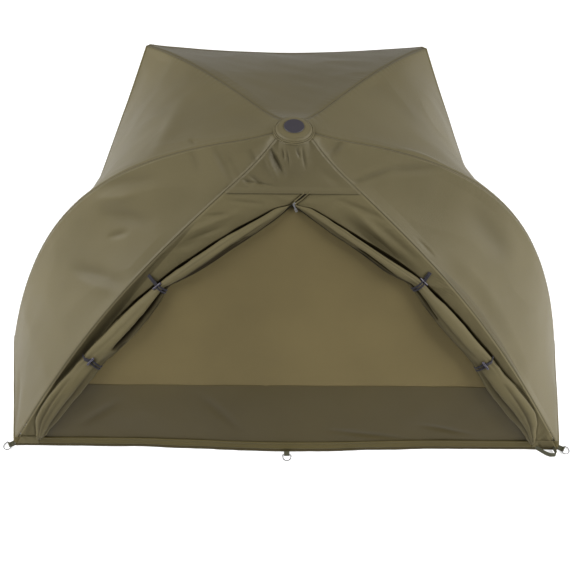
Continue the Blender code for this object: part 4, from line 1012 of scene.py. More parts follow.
def cloth_wall(name, t, x, layer, key, nodes=None, crown=False):
    """A piece of the sloping rear wall; x runs in shares of its half width at each t."""
    half = wall_edge(t)[0]
    p = wall(t[:, None], x[None, :] * half[:, None], layer)
    if crown:
        p = with_seams(REAR, RIBS["rear_right"], t, p)
    n = grid_normals(p, WALL_OUT)
    u, v = arc(p, 1), arc(p, 0)
    edge = np.minimum(u, u[:, -1:] - u)
    rise = (creases(p, 74, 0.36) * 0.0010 + ripples(p, 78, 0.10) * 0.0003) \
        * clamp(edge / 0.05) * np.clip(v / 0.15, 0.05, 1.0)
    folds, dips = folds_in(p, name, clamp(edge / 0.01))
    rise = rise + folds
    if crown:
        rise = rise + seam_puckers(p, np.maximum(edge - 0.004, 0.0), v, 77) \
            * clamp(edge / 0.006) * clamp(v / 0.1)
        rise = rise - groove(edge) * clamp(v / 0.1)
    # Painted shade in the dips of folds and along the seams
    hollow = with_painted_seam_shade(np.clip(dips / 0.040, 0.0, 0.25), edge)
    # Painted shade over all of the door's header
    if crown:
        hollow = np.maximum(hollow, LEVEL_PAINTED_SHADE)
    # Painted shade on the mud flap beside each roll
    if name == "mud_flap":
        for side in (-1, 1):
            inner = roll_edges(side, t)[0][:, None]
            beside = clamp(1 - (inner - side * x[None, :] * half[:, None]) / 0.050)
            hollow = np.maximum(hollow, 0.55 * beside**2)
    p = p + n * rise[..., None]
    in_halves(name, p, WALL_OUT, hollow, key, "stretched", nodes=nodes)


def tucked(t, x):
    """How far the mesh and the mud flap stand back behind the rolled flaps, at shares of the
    half width."""
    half = wall_edge(t)[0][:, None]
    depth = np.zeros((len(t), len(x)))
    for side in (-1, 1):
        inner, outer, _ = roll_edges(side, t)
        out = side * x[None, :] * half
        start = clamp((out - inner[:, None]) / np.maximum(outer - inner, 0.004)[:, None])
        beside = bell(out, outer[:, None], 0.030)
        depth = np.maximum(depth, (0.010 * start + gap_depth(side, t)[:, None] * beside)
                           * clamp((half - out) / 0.03))
    return depth * clamp((ROLL_END - t) / 0.03)[:, None]


def make_rear_wall():
    """The header over the door, the mesh window and the mud flap."""
    x = np.linspace(-1.0, 1.0, 161)
    t = np.concatenate([np.linspace(0.0, DOOR_TOP - 0.003, 70), [DOOR_TOP, DOOR_TOP + 0.003]])
    layer = 0.0004 + 0.0036 * clamp((t - DOOR_TOP + 0.02) / 0.012)[:, None]
    cloth_wall("door_header", t, x, layer, "canopy", crown=True)
    t = np.linspace(DOOR_TOP - 0.004, MUD_TOP + 0.012, 90)
    cloth_wall("mesh_window", t, x, -0.0034 - tucked(t, x), "net", "mesh_window")
    t = np.linspace(MUD_TOP, 1.0, 70)
    cloth_wall("mud_flap", t, x, -0.0022 - tucked(t, x), "mud", "mud_flap")


# Rolled door flaps and what ties them

CREVICE = 0.020
ROLL_LIFT = 0.0026


def gap_depth(side, t):
    """How far the cloth dives beside a roll: deep up high, shallow where the roll lies close."""
    places, values = GAP_DEPTH[word_of(side)]
    return CREVICE * eased(np.interp(t, FINE, WALL_LINE[:, 2]), places, values)


def zip_across(t):
    return ZIP_LEAN * np.maximum(0.0, (ZIP_FOOT - t) / (ZIP_FOOT - DOOR_TOP))


def roll_edges(side, t):
    """The roll's mesh-side edge, rib-side edge and bulk at shares of the wall."""
    rows = [(top, side * zip_across(top) + 0.0063, side * zip_across(top) + 0.0123, 0.003)
            for top in (DOOR_TOP, (DOOR_TOP + ZIP_FOOT) / 2, ZIP_FOOT)]
    rows += [(wall_share(height), inner, outer, bulk)
             for height, inner, outer, bulk in ROLL_STATIONS[word_of(side)]]
    rows = np.array(rows)
    inner, outer, bulk = (eased(t, rows[:, 0], rows[:, k]) for k in (1, 2, 3))
    return inner, np.minimum(outer, wall_edge(t)[0] - 0.008), bulk


ROLL_END = wall_share(ROLL_STATIONS["left"][-1][0])
TIE_SHARES = {key: wall_share(toggle[1]) for key, (_, toggle) in TIES.items()}
ROLL_ANGLES = np.radians(np.linspace(222.0, -80.0, 72))


def roll_section(side, t, lobes):
    """Sections of a roll: shares of half its width across, and of its bulk up, at each t."""
    angle = ROLL_ANGLES[None, :]
    t = t[:, None]
    pull = np.ones_like(t * angle)
    for start, end, first, last, width, depth in lobes:
        along = clamp((t - start) / (end - start))
        strength = depth * np.sin(pi * along) ** 0.5
        pull = pull - strength * bell(angle, radians(first) + radians(last - first) * along,
                                      radians(width))
    for level in ("upper", "lower"):
        tie = TIE_SHARES[word_of(side), level]
        pull = pull - 0.08 * bell(t, tie, 0.010)
        pull = pull - 0.05 * np.sin(angle * 9) * bell(t, tie, 0.030)
    pull = np.maximum(pull, 0.10)
    return pull * np.cos(angle), pull * np.sin(angle)


# Each dent along a roll: the shares of the wall it runs between, its angle on the section at
# both ends (0 is on the mesh's side), its width and how far it cuts in.
LEFT_LOBES = (
    (0.30, 0.520, 40.0, 28.0, 13.0, 1.00), (0.22, 0.505, 14.0, 8.0, 7.0, 0.45),
    (0.24, 0.50, 70.0, 58.0, 9.0, 0.22), (0.22, 0.50, 120.0, 112.0, 9.0, 0.06),
    (0.488, 0.712, 50.0, 50.0, 17.0, 1.00), (0.55, 0.76, 108.0, 120.0, 9.0, 0.06),
    (0.68, 0.775, 18.0, 12.0, 9.0, 0.50), (0.755, 1.02, 62.0, 48.0, 11.0, 0.24),
    (0.80, 1.03, 134.0, 112.0, 11.0, 0.20), (0.84, 1.05, 98.0, 88.0, 8.0, 0.14),
)
RIGHT_LOBES = (
    (0.34, 0.478, 44.0, 34.0, 11.0, 0.95), (0.36, 0.485, 14.0, 8.0, 7.0, 0.45),
    (0.21, 0.46, 62.0, 58.0, 12.0, 0.16), (0.22, 0.46, 132.0, 126.0, 8.0, 0.12),
    (0.462, 0.60, 46.0, 40.0, 11.0, 0.85), (0.47, 0.78, 66.0, 74.0, 10.0, 0.16),
    (0.55, 0.80, 14.0, 10.0, 8.0, 0.40), (0.76, 1.02, 46.0, 70.0, 11.0, 0.28),
    (0.80, 1.04, 120.0, 98.0, 10.0, 0.26), (0.84, 1.04, 88.0, 84.0, 7.0, 0.12),
)


def flap(side):
    """A door flap, from the rib's seam over the wall and round in its roll, as one cloth."""
    word = word_of(side)
    rib = RIBS["rear_" + word]
    t = np.linspace(DOOR_TOP - 0.006, ROLL_END, 260)
    inner, outer, bulk = roll_edges(side, t)
    half = wall_edge(t)[0]
    lobes = LEFT_LOBES if side < 0 else RIGHT_LOBES
    cosine, sine = roll_section(side, t, lobes)
    middle, reach = (inner + outer) / 2, (outer - inner) / 2
    roll_x = middle[:, None] - reach[:, None] * cosine
    roll_h = ROLL_LIFT + bulk[:, None] / 2 * (1 + sine)
    share = 1 - (1 - np.linspace(0.0, 1.0, 84)) ** 1.5
    flat_end = outer + 0.001
    x = half[:, None] + (flat_end - half)[:, None] * share
    beside = clamp(1 - (x - flat_end[:, None]) / 0.016)
    deep = (gap_depth(side, t) * clamp(bulk / 0.040))[:, None]
    h = -deep * beside**2
    tuck_x = np.stack([outer - 0.30 * reach, outer - 0.75 * reach], axis=1)
    tuck_h = np.concatenate([-deep * 0.9, 0.0012 - deep * 0.2], axis=1)
    full_x = np.concatenate([x, tuck_x, roll_x], axis=1)
    full_h = np.concatenate([h, tuck_h, roll_h], axis=1)
    p = wall(t[:, None], side * full_x, full_h)
    lead = seam_columns(rib, RIBS["rear_" + word_of(-side)], t, (0.0005, *SEAM_COLUMNS[1:]))
    p = np.concatenate([*lead, p], axis=1)
    n = grid_normals(p, WALL_OUT)
    u, v = arc(p, 1), arc(p, 0)
    calm = clamp(u / 0.03) * clamp((v - 0.004) / 0.03)
    rise = (creases(p, 105 + side, 0.14) * 0.0012 + ripples(p, 109 + side, 0.035) * 0.0003) * calm
    rise = rise + folds_in(p, "flap_" + word, calm)[0]
    rise = rise + seam_puckers(p, np.maximum(u - 0.004, 0.0), v, 107 + side) * calm
    count = len(lead) + len(share)
    room = 0.009 * clamp(u[:, :count] / 0.03) \
        * clamp((t[:, None] - DOOR_TOP) / 0.02)
    rise[:, :count] = np.maximum(rise[:, :count], -0.0012 - room)
    end_start = 0.93
    end = clamp((t[:, None] - end_start) / (ROLL_END - end_start))
    rise = rise + creases(p, 113 + side, 0.045) * 0.0036 * end
    rise = rise - groove(u)
    p = p + n * rise[..., None]
    # Painted shade over the flap: on the roll's mesh side, which turns away from the light, with
    # lighter painted lines between its folds, in the tuck and the dents, in the gap beside the roll,
    # and in a band beside the left seam
    height = np.interp(t, FINE, WALL_LINE[:, 2])
    degrees_round = np.degrees(ROLL_ANGLES)[None, :]
    face = eased(height, *ROLL_PAINTED_SHADE[word])[:, None]
    under = face * clamp((88.0 - degrees_round) / 62.0) ** 1.1
    # The angle of a lighter painted line between the folds on the roll's mesh side
    lit = 24.0 + 5.0 * np.sin(height * 21.0)[:, None]
    under = under * (1 - 0.45 * bell(degrees_round, lit, 6.0))
    # Painted shade in the tuck on the rib's side
    under = np.maximum(under, 0.6 * clamp((degrees_round - 165.0) / 30.0))
    # Painted shade in the roll's dents
    dent = np.clip((1 - np.hypot(cosine, sine)) * 2.2, 0.0, 0.93)
    under = 1 - (1 - under) * (1 - dent)
    inset = half[:, None] - x
    # Painted shade in the gap beside the roll
    deepness = gap_depth(side, t)[:, None] / CREVICE
    flat = 0.85 * deepness * clamp(1 - (x - flat_end[:, None]) / 0.012) ** 1.5
    seam = np.zeros_like(flat)
    # Painted shade in a band beside the left seam
    if side < 0:
        band = eased(t, *SEAM_BAND_PAINTED_SHADE)[:, None]
        seam = 0.40 * clamp(band / 0.012) * clamp((band - inset) / 0.006 + 1)
    flat = np.maximum(flat, seam)
    painted_flap_shade = np.concatenate([np.repeat(seam[:, :1], 3, axis=1), flat,
                             np.repeat(np.maximum(flat[:, -1:], 0.5), 2, axis=1), under], axis=1)
    # Painted shade in the dips of folds, and along the seam's line
    dips = folds_in(p, "flap_" + word, calm)[1]
    painted_flap_shade = with_painted_seam_shade(1 - (1 - painted_flap_shade) * (1 - np.clip(dips / 0.032, 0.0, 0.45)), u)
    cloth_piece("rolled_flap_" + word, p, WALL_OUT, "door", rib, "gathered",
                ["rib_rod_rear_" + word], ["door_flap_" + word], hollow=painted_flap_shade)


def ribbon(name, path, across, width, key, rib, held, rests_on, nodes=(), thickness=0.0012,
           columns=5):
    """A flat strap along a path of points, with its width along the across directions."""
    across = np.broadcast_to(unit(np.asarray(across, float)), path.shape)
    offset = np.linspace(-width / 2, width / 2, columns)
    p = path[:, None] + across[:, None] * offset[None, :, None]
    normal = np.cross(np.gradient(path, axis=0), across).mean(axis=0)
    cloth_piece(name, p, normal, key, rib, held, rests_on, nodes, thickness, 0.0)


def smooth_path(points, count):
    points = np.asarray(points, float)
    places = np.concatenate([[0.0], np.cumsum(np.linalg.norm(np.diff(points, axis=0), axis=1))])
    x = np.linspace(0.0, places[-1], count)
    return np.stack([eased(x, places, points[:, k]) for k in range(points.shape[1])], axis=1)


def tube(path, radius, sides=10, closed=False):
    """A round bar along a path, as rows of points for a closed grid."""
    path = np.asarray(path, float)
    if closed:
        along = unit(np.roll(path, -1, axis=0) - np.roll(path, 1, axis=0))
    else:
        along = unit(np.gradient(path, axis=0))
    first = unit(np.cross(along, np.array((0.13, 0.29, 0.95))))
    second = np.cross(along, first)
    radius = np.broadcast_to(np.asarray(radius, float), (len(path),))[:, None, None]
    angle = np.linspace(0.0, 2 * pi, sides, endpoint=False)[None, :, None]
    return path[:, None] + radius * (first[:, None] * np.cos(angle)
                                     + second[:, None] * np.sin(angle))


def tube_object(name, paths, key, sides=10):
    """One mesh of several bars: each is (path, radius, closed)."""
    bm = bmesh.new()
    layer = bm.loops.layers.uv.new("cloth")
    for path, radius, closed in paths:
        rings = tube(path, radius, sides, closed) + HUB_PLACE
        verts = [[bm.verts.new(p) for p in ring] for ring in rings]
        length = arc(rings, 0)[:, 0]
        turn = 2 * pi * float(np.max(radius)) / sides
        pairs = list(zip(range(len(verts) - 1), range(1, len(verts))))
        if closed:
            pairs.append((len(verts) - 1, 0))
        for i, j in pairs:
            for k in range(sides):
                m = (k + 1) % sides
                face = bm.faces.new((verts[i][k], verts[i][m], verts[j][m], verts[j][k]))
                face.smooth = True
                for loop, place in zip(face.loops, ((k, i), (k + 1, i), (k + 1, j), (k, j))):
                    loop[layer].uv = (place[0] * turn, length[place[1]])
        if not closed:
            bm.faces.new(verts[0])
            bm.faces.new(list(reversed(verts[-1])))
    return dress(from_bmesh(name, bm, weld=False), key)


def roll_top(side, t, x):
    """Height over the wall of the roll's upper side, or of the flat cloth beside it."""
    inner, outer, bulk = roll_edges(side, t)
    middle, reach = (inner + outer) / 2, (outer - inner) / 2
    inside = clamp(1 - ((x - middle) / reach) ** 2)
    return np.where(inside > 0, ROLL_LIFT + bulk / 2 * (1 + np.sqrt(inside)), 0.0020)


TOGGLE_LENGTH = 0.046


def make_tie(side, level):
    """A webbing strap from beside the seam, a toggle, and an elastic loop round the roll."""
    word = word_of(side)
    name = level + "_" + word
    (start_x, start_z), (toggle_x, toggle_z) = TIES[word, level]
    tie, start = wall_share(toggle_z), wall_share(start_z)
    rib = RIBS["rear_" + word]
    inner, outer, _ = (float(value) for value in roll_edges(side, np.array(tie)))
    middle, reach = (inner + outer) / 2, (outer - inner) / 2
    s = np.linspace(0.0, 1.0, 30)
    t, x = start + (tie - start) * s, start_x + (toggle_x - start_x) * s
    seat = float(roll_top(side, np.array(tie), np.array(toggle_x)))
    sewn = float(roll_top(side, np.array(start), np.array(start_x)))
    h = np.maximum(sewn + (seat - sewn) * s, roll_top(side, t, x))
    h = h + 0.0042 * np.clip(s / 0.2, 0.4, 1.0)
    h = np.convolve(np.pad(h, 3, mode="edge"), np.ones(7) / 7, mode="valid")
    path = wall(t, side * x, h)
    down = wall(tie + 0.02, side * middle) - wall(tie - 0.02, side * middle)
    run = path[-1] - path[0]
    across = down - run * (down @ run) / (run @ run)
    ribbon("tie_strap_" + name, path, across, 0.0165, "dark_strap", rib, "stretched",
           ["rib_rod_rear_" + word])
    lean = np.arccos(np.clip((middle - toggle_x) / reach, -0.97, 0.97))
    angle = np.linspace(float(lean) + 0.1, radians(-150.0), 46)
    cords, cord, apart = [], 0.0040, 0.0088
    for shift in (-apart, apart):
        around = toggle_x + 0 * angle
        for _ in range(24):
            share = tie + shift / WALL_LENGTH + (toggle_x - around) * SQUARE_SLOPE
            a, b, c = roll_edges(side, share)
            new = (a + b) / 2 - ((b - a) / 2 * 0.97 + 0.0022) * np.cos(angle)
            around = (around + new) / 2
        over = 0.0030 + c / 2 + (c / 2 * 0.95 + 0.0026) * np.sin(angle)
        cords.append((wall(share, side * around, np.maximum(over, 0.0020)), cord, False))
    bridge = np.linspace(0.0, 1.0, 12)
    top = wall(tie + apart / WALL_LENGTH * (2 * bridge - 1),
               side * (toggle_x + 0.003 - 0.004 * np.sin(pi * bridge)), seat + 0.0030 + 0 * bridge)
    cords.append((top, cord, False))
    elastic = tube_object("tie_elastic_" + name, cords, "dark_strap", 8)
    hang_on(elastic, rib, ["elastic_" + name])
    centre = wall(tie, side * toggle_x, seat + 0.0075)
    above, below = (wall(share, side * float(roll_edges(side, np.array(share))[1]))
                    for share in (tie - 0.012, tie + 0.012))
    s = np.linspace(-0.5, 0.5, 25)
    body = 0.0050 - 0.0014 * bell(s, 0.0, 0.09) - 0.0022 * np.maximum(0.0, np.abs(s) - 0.44) / 0.06
    bar = centre + unit(below - above) * (s * TOGGLE_LENGTH)[:, None]
    toggle = tube_object("tie_toggle_" + name, [(bar, body, False)], "toggle", 16)
    hang_on(toggle, rib, ["toggle_" + name])


# Zip

def skin(bm, rings):
    """Faces between rings of vertices, and over both ends."""
    for upper, lower in zip(rings, rings[1:]):
        for k in range(len(upper)):
            m = (k + 1) % len(upper)
            bm.faces.new((upper[k], upper[m], lower[m], lower[k]))
    bm.faces.new(rings[0])
    bm.faces.new(list(reversed(rings[-1])))


def make_zip():
    """The zip's closed head, its open edges along the rolls, and the slider's body."""
    t = np.linspace(DOOR_TOP - 0.002, ZIP_FOOT, 24)
    path = wall(t, zip_across(t), 0.0010)
    ribbon("zip_tape", path, (1.0, 0.0, 0.0), 0.0130, "zip", REAR, "stretched",
           ["rib_rod_rear_left"], ["zip_head"])
    for side, word in SIDES:
        tie = TIE_SHARES[word, "upper"]
        t = np.linspace(ZIP_FOOT - 0.004, tie + 0.01, 90)
        inner, _, bulk = roll_edges(side, t)
        fade = clamp((tie + 0.01 - t) / 0.05)
        x = inner - 0.0030 * fade + 0.004 * (1 - fade)
        path = wall(t, side * x, 0.0016 + bulk * 0.30)
        across = wall(t, side * (x + 0.004), 0.0016 + bulk * 0.30 - 0.0055) - path
        ribbon("zip_edge_" + word, path, across, 0.0108, "zip", RIBS["rear_" + word], "hung",
               ["rolled_flap_" + word], thickness=0.0010, columns=4)
    low = wall(ZIP_FOOT, 0.0)
    high = wall(DOOR_TOP, ZIP_LEAN)
    along = unit(high - low)
    normal = wall_normal(np.array(ZIP_FOOT))
    aside = unit(np.cross(along, normal))
    normal = unit(np.cross(aside, along))
    slider_low, slider_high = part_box("zip_slider")
    centre = np.array((slider_low + slider_high) / 2)
    turn = Matrix((aside, along, normal)).transposed().to_4x4()
    place = Matrix.Translation(Vector(centre)) @ turn
    bm = bmesh.new()
    wings = [(-0.0044, 0.0064), (0.0044, 0.0064), (0.0047, 0.0020), (0.0030, -0.0040),
             (0.0022, -0.0064), (-0.0022, -0.0064), (-0.0030, -0.0040), (-0.0047, 0.0020)]
    for bottom, top in ((-0.0025, -0.0013), (0.0002, 0.0013)):
        skin(bm, [[bm.verts.new(place @ Vector((x, y, z))) for x, y in wings]
                  for z in (bottom, top)])
    bridge = smooth_path([(-0.0050, 0.0010), (-0.0042, 0.0026), (0.0, 0.0031), (0.0040, 0.0026),
                          (0.0048, 0.0010)], 13)
    corners = ((-0.0013, -0.0005), (0.0013, -0.0005), (0.0013, 0.0005), (-0.0013, 0.0005))
    skin(bm, [[bm.verts.new(place @ Vector((x, y, z + h))) for x, h in corners]
              for y, z in bridge])
    slider = dress(from_bmesh("slider_body", bm), "steel")
    edges = slider.modifiers.new("edges", "BEVEL")
    edges.width = 0.0003
    edges.segments = 2
    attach(slider, "slider")
    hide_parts("zip_slider")


def make_puller():
    """A pressed pull tab with a waist and a round hole near its end."""
    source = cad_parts["zip_puller"].data
    points = np.array([v.co for v in source.vertices])
    centre = points.mean(axis=0)
    _, _, ways = np.linalg.svd(points - centre)
    long_way, wide_way = ways[0], ways[1]
    if long_way[2] > 0:
        long_way = -long_way
    thin_way = unit(np.cross(long_way, wide_way))
    if thin_way[1] > 0:
        thin_way, wide_way = -thin_way, -wide_way
    reach = (points - centre) @ long_way
    start, length = reach.min(), reach.max() - reach.min()
    bm = bmesh.new()
    count = 40
    hole_at, hole = 0.80 * length, 0.0021
    layers = []
    for z in (-0.0007, 0.0007):
        left, right = [], []
        for i in range(count + 1):
            s = i / count
            y = s * length
            half = 0.0040 + 0.0016 * s - 0.0010 * bell(s, 0.35, 0.2)
            if s > 0.93:
                half *= max(0.25, 1 - ((s - 0.93) / 0.07) ** 2) ** 0.5
            gap = hole * hole - (y - hole_at) ** 2
            slit = gap**0.5 if gap > 0 else 0.00001
            for edge, column in ((-1, left), (1, right)):
                for a in (slit, half):
                    place = centre + long_way * (start + y) + wide_way * (edge * a) + thin_way * z
                    column.append(bm.verts.new(place))
        layers.append((left, right))
    for side in (0, 1):
        low, high = layers[0][side], layers[1][side]
        for i in range(count):
            a, b, c, d = 2 * i, 2 * i + 1, 2 * i + 3, 2 * i + 2
            bm.faces.new((low[a], low[b], low[c], low[d]))
            bm.faces.new((high[a], high[d], high[c], high[b]))
            bm.faces.new((low[b], high[b], high[c], low[c]))
            bm.faces.new((low[a], low[d], high[d], high[a]))
        for end in (0, 2 * count):
            bm.faces.new((low[end], high[end], high[end + 1], low[end + 1]))
    tab = dress(from_bmesh("puller_tab", bm), "steel")
    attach(tab, "puller")
    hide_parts("zip_puller")


# Crown cap

def spun(profile, sides=96):
    """A profile of (radius, height) turned round the hub's axis."""
    angle = np.linspace(0.0, 2 * pi, sides, endpoint=False)
    radius, height = np.array(profile).T
    return np.stack([radius[:, None] * np.cos(angle), radius[:, None] * np.sin(angle),
                     np.broadcast_to(height[:, None], (len(radius), sides))], axis=-1)


def make_cap():
    """A low fabric dome with a plain moulded patch in its middle, two rows of piping and two rings of
    stitches.
    """
    low = CANOPY_TOP + 0.0003
    steps = np.linspace(0.0, pi / 2, 40)
    profile = [(0.0755 * np.sin(a), low + 0.0060 + 0.0250 * np.cos(a) ** 0.8) for a in steps[1:]]
    profile = [(0.0006, profile[0][1] + 0.0001), *profile, (0.0758, low + 0.003),
               (0.0720, low + 0.001)]
    p = spun(profile)
    swirl = np.arctan2(p[..., 1], p[..., 0])
    out = np.hypot(p[..., 0], p[..., 1]) / 0.073
    rise = 0.0006 * ripples(p, 201, 0.05) + 0.0007 * np.sin(swirl * 34) * clamp((out - 0.80) / 0.2)
    p[..., 2] += rise * clamp(out * 3 - 0.5)
    dome = dress(grid_object("cap_dome", p, (0, 0, 1), closed=True), "canopy")
    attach(dome, "hub")
    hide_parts("crown_cap")
    declare(p)
    angle = np.linspace(0.0, 2 * pi, 180, endpoint=False)
    rims = []
    for radius, height, wire, seed in ((0.0815, 0.0030, 0.0036, 1), (0.0775, 0.0085, 0.0032, 2)):
        wobble = 0.0009 * np.sin(angle * 3 + seed) + 0.0007 * np.sin(angle * 11 + 2 * seed)
        pinch = 0.0026 * bell(np.cos(angle - radians(222.0)), 1.0, 0.05) * np.sin(angle * 46)
        r = radius - np.abs(wobble) * 0.6
        ring = np.stack([r * np.cos(angle), r * np.sin(angle),
                         low + height + wobble * 0.5 + pinch], axis=-1)
        size = wire * (1 - 0.12 * np.abs(np.sin(angle * 40 + seed)))
        rims.append((ring, size, True))
    rim = tube_object("cap_piping", rims, "canopy", 12)
    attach(rim, "hub")

    def dome_height(radius):
        return low + 0.0060 + 0.0250 * np.sqrt(1 - (radius / 0.0755) ** 2) ** 0.8

    badge = [(radius, dome_height(radius) + rise) for radius, rise in
             ((0.0004, 0.0014), (0.010, 0.0014), (0.020, 0.0014), (0.030, 0.0014),
              (0.0365, 0.0014), (0.0376, 0.0020), (0.0388, 0.0024), (0.0402, 0.0022), (0.0412, 0.0014),
              (0.0416, 0.0002))]
    patch = dress(grid_object("cap_patch", spun(badge, 64), (0, 0, 1), closed=True), "patch")
    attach(patch, "hub")
    turn = np.linspace(0.0, 2 * pi, 121)
    for radius, name in ((0.0445, "inner"), (0.0655, "outer")):
        ring = np.stack([radius * np.cos(turn), radius * np.sin(turn),
                         np.full_like(turn, dome_height(radius) + 0.0003)], axis=-1)
        row = stitched("cap_stitches_" + name, [ring])
        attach(row, "hub")


# Peg points, carrying loop and hems

def make_tab(word, anchor, out, rib, node):
    """A folded webbing tab sewn under the hem, with the wire ring that takes a peg."""
    across = np.array((-out[1], out[0], 0.0))
    bar_height = 0.0055
    inner, outer = 0.0030, 0.0052
    end = 0.024
    path = [(0.0, 0.0013), (end - outer, 0.0014)]
    path += [(end + (inner + 0.0010) * np.cos(a), bar_height + (inner + 0.0010) * np.sin(a))
             for a in np.linspace(-pi / 2, pi, 15)]
    path += [(end - outer, 0.0042), (0.006, 0.0036), (0.0, 0.0034)]
    path = smooth_path(path, 46)
    points = anchor + out * path[:, 0:1] + UP * path[:, 1:2]
    ribbon("corner_tab_" + word, points, across, 0.0245, "strap", rib, "folded",
           ["peg_ring_" + word], [node], 0.0014, 7)
    bar = anchor + out * end
    bar[2] = bar_height
    half, depth = 0.0185, 0.028
    away = unit(np.array((*out[:2], -(bar_height - 0.0026) / depth)))
    path = [bar + across * (half * s) for s in np.linspace(1.0, -1.0, 12)]
    for a in np.linspace(0.0, pi, 40)[1:-1]:
        path.append(bar + away * (depth - half + half * np.sin(a)) - across * (half * np.cos(a)))
    wire = tube_object("corner_ring_" + word, [(np.array(path), 0.0020, True)], "wire", 12)
    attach(wire, "ring_" + word)
    if word == "middle":
        fold_with(wire, rib)
    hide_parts("peg_ring_" + word)


def make_carry_loop():
    """The loop of webbing that lies on the ground at the right rear corner."""
    corner = wall(1.0, float(wall_edge(1.0)[0]), HEM_LAYER)
    corner[2] = 0.0005
    shares = ((0.88, -0.008, 0.60), (0.72, 0.22, 0.58), (0.52, 0.52, 0.53), (0.31, 0.70, 0.52),
              (0.16, 0.68, 0.52), (0.11, 0.50, 0.54), (0.14, 0.28, 0.58), (0.18, -0.012, 0.60))
    path = np.array([corner + np.array((-0.120 * a, -0.055 * b - 0.0003, 0.025 * c))
                     for a, b, c in shares])
    path = smooth_path(path, 60)
    along = unit(np.gradient(path, axis=0))
    lean = np.array((0.0, 0.25, 1.0))
    across = lean - along * (along @ lean)[:, None]
    ribbon("carry_strap", path, across, 0.0225, "strap", RIBS["rear_right"], "hung",
           ["mud_flap_half_right"], ["carry_loop"], 0.0018, 7)


def hem_strip(name, path, normal, up, width, rib):
    """Binding folded over an edge: path runs along the edge, up leads from it over the cloth."""
    path, normal, up = np.asarray(path), unit(np.asarray(normal)), unit(np.asarray(up))
    bulge = 0.0016
    section = [(width, 0.0004), (width - 0.0015, 0.0016), (width * 0.6, 0.0013 + bulge * 0.4),
               (width * 0.25, 0.0013 + bulge * 0.6), (0.0005, 0.0012), (-0.0008, 0.0),
               (0.0005, -0.0016), (width * 0.4, -0.0018), (width * 0.8, -0.0018)]
    section = smooth_path(section, 26)
    p = (path[:, None] + up[:, None] * section[None, :, 0:1]
         + normal[:, None] * section[None, :, 1:2])
    cloth_piece(name, p, normal.mean(axis=0), "hem", rib, "folded", [], thickness=0.0005)


def make_hems(panels):
    """The lower edge of each canopy panel, bound in a darker tape."""
    for name, (p, holder, _) in panels.items():
        edge, above = p[-1], p[-4]
        up = unit(above - edge)
        n = grid_normals(p, np.array((*holder.out[:2], 1.0)))[-2]
        hem_strip("hem_" + name, edge + up * 0.0012 + UP * 0.0004, n, up, 0.016, holder)


def make_corner_patch(side, word):
    """A patch of the door's cloth over the hem at a rear corner, from the roll to the seam."""
    t = np.linspace(wall_share(0.052), wall_share(0.015), 16)
    start = float(roll_edges(side, np.array(ROLL_END))[1]) - 0.006
    half = wall_edge(t)[0] - 0.0015
    share = np.linspace(0.0, 1.0, 24)
    x = start + (half[:, None] - start) * share[None, :]
    p = wall(t[:, None], side * x, 0.0052)
    p = p + wall_normal(t)[:, None] * (creases(p, 401 + side, 0.05) * 0.0012)[..., None]
    cloth_piece("corner_patch_" + word, p, (0.0, -1.0, 0.5), "door", RIBS["rear_" + word],
                "stretched", ["rib_rod_rear_" + word], thickness=0.0006)


def make_rear_hem():
    """The heavy hem of the mud flap: a piped upper edge and a broad folded band below it."""
    x = np.linspace(-1.0, 1.0, 181) * float(wall_edge(1.0)[0])
    section = [(0.060, 0.0006), (0.0585, 0.0030), (0.0545, 0.0034), (0.0515, 0.0014),
               (0.047, 0.0012), (0.036, 0.0024), (0.028, 0.0030), (0.0245, 0.0042),
               (0.022, 0.0040), (0.018, 0.0016), (0.008, 0.0030), (0.0025, 0.0032),
               (0.0012, 0.0008)]
    section = smooth_path(section, 44) * np.array((HEM_SHARE, 1.0))
    heights = section[:, 0]
    share = np.array([wall_share(height) for height in heights])
    p = wall(share[:, None], x[None, :], section[:, 1:2] + 0.0004)
    wave = ripples(p, 301, 0.20) * 0.0016 + ripples(p, 305, 0.06) * 0.0005
    p[..., 1] -= wave * np.clip((0.055 - heights) / 0.04, 0.2, 1.0)[:, None]
    # Painted shade on the lowest band of the hem, where it turns under
    low = clamp((0.017 - heights) / 0.003)[:, None] + 0 * x
    in_halves("rear_hem", p, (0.0, -1.0, 0.5), 0.45 * low, "hem", "folded")


# Stitches, placed along seams by a node tree

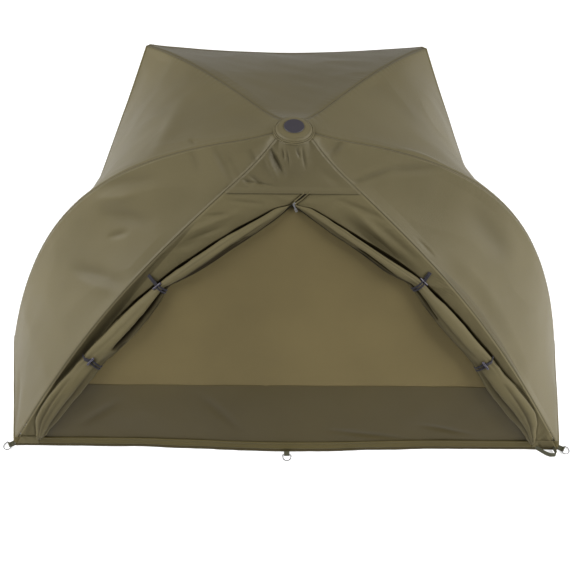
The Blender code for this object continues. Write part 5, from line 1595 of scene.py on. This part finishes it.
def stitch_tree():
    """A node tree that sets a stitch at every pitch along lines."""
    tree = bpy.data.node_groups.new("stitch_row", "GeometryNodeTree")
    face = tree.interface
    face.new_socket("Lines", in_out="INPUT", socket_type="NodeSocketGeometry")
    for words, value in (("Pitch", 0.0045), ("Stitch Length", 0.0031), ("Thread Radius", 0.00042)):
        made = face.new_socket(words, in_out="INPUT", socket_type="NodeSocketFloat")
        made.default_value = value
    face.new_socket("Thread", in_out="INPUT", socket_type="NodeSocketMaterial")
    face.new_socket("Stitches", in_out="OUTPUT", socket_type="NodeSocketGeometry")
    nodes, links = tree.nodes, tree.links
    start, end = nodes.new("NodeGroupInput"), nodes.new("NodeGroupOutput")
    curve = nodes.new("GeometryNodeMeshToCurve")
    resample = nodes.new("GeometryNodeResampleCurve")
    resample.mode = "LENGTH"
    bar = nodes.new("GeometryNodeMeshCylinder")
    bar.inputs["Vertices"].default_value = 5
    bar.inputs["Side Segments"].default_value = 2
    place = nodes.new("GeometryNodeInstanceOnPoints")
    tangent = nodes.new("GeometryNodeInputTangent")
    turn = nodes.new("FunctionNodeAlignRotationToVector")
    turn.axis = "Z"
    real = nodes.new("GeometryNodeRealizeInstances")
    paint = nodes.new("GeometryNodeSetMaterial")
    for giver, given, taker, taken in (
            (start, "Lines", curve, "Mesh"), (curve, "Curve", resample, "Curve"),
            (start, "Pitch", resample, "Length"), (start, "Stitch Length", bar, "Depth"),
            (start, "Thread Radius", bar, "Radius"), (resample, "Curve", place, "Points"),
            (bar, "Mesh", place, "Instance"), (tangent, "Tangent", turn, "Vector"),
            (turn, "Rotation", place, "Rotation"), (place, "Instances", real, "Geometry"),
            (real, "Geometry", paint, "Geometry"), (start, "Thread", paint, "Material"),
            (paint, "Geometry", end, "Stitches")):
        links.new(giver.outputs[given], taker.inputs[taken])
    return tree


STITCHES = stitch_tree()


def stitched(name, lines):
    """Rows of stitches along lines of points, as one plain mesh."""
    mesh = bpy.data.meshes.new(name + "_lines")
    points, edges = [], []
    for line in lines:
        base = len(points)
        points += (np.asarray(line) + HUB_PLACE).tolist()
        edges += [(base + i, base + i + 1) for i in range(len(line) - 1)]
    mesh.from_pydata(points, edges, [])
    source = add_object(name + "_lines", mesh)
    modifier = source.modifiers.new("stitches", "NODES")
    modifier.node_group = STITCHES
    for item in STITCHES.interface.items_tree:
        if item.name == "Thread":
            modifier[item.identifier] = MATERIALS["thread"]
    graph = bpy.context.evaluated_depsgraph_get()
    final = bpy.data.meshes.new_from_object(source.evaluated_get(graph))
    bpy.data.objects.remove(source, do_unlink=True)
    final.shade_smooth()
    return dress(add_object(name, final), "thread")


def make_seam_stitches(panels):
    """Two rows of stitches beside every rib seam."""
    lines = {name: [] for name in RIBS}
    for p, first, second in panels.values():
        outward = unit(first.out + second.out) + UP
        n = grid_normals(p, outward)
        for rib, column in ((first, 2), (second, -3)):
            line = p[4:-2, column] + n[4:-2, column] * 0.0006
            lines[rib.name].append(line)
    for name, rows in lines.items():
        piece = stitched("seam_stitches_" + name, rows)
        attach(piece, "rib_" + name)


make_camera()
make_studio()
dress_frame()
panels = make_canopy()
make_rear_wall()
for side, _ in SIDES:
    flap(side)
    for level in ("upper", "lower"):
        make_tie(side, level)
make_zip()
make_puller()
make_cap()
make_spring()
for word in ("left", "right"):
    rib = RIBS["rear_" + word]
    make_tab(word, rib.out * TAB_REACH, rib.out, rib, "peg_tab_" + word)
back = np.array((0.0, -1.0, 0.0))
make_tab("middle", back * -wall(1.0, 0.0, HEM_LAYER)[1], back, REAR, "peg_tab_middle")
make_carry_loop()
make_hems(panels)
make_rear_hem()
for side, word in SIDES:
    make_corner_patch(side, word)
make_seam_stitches(panels)
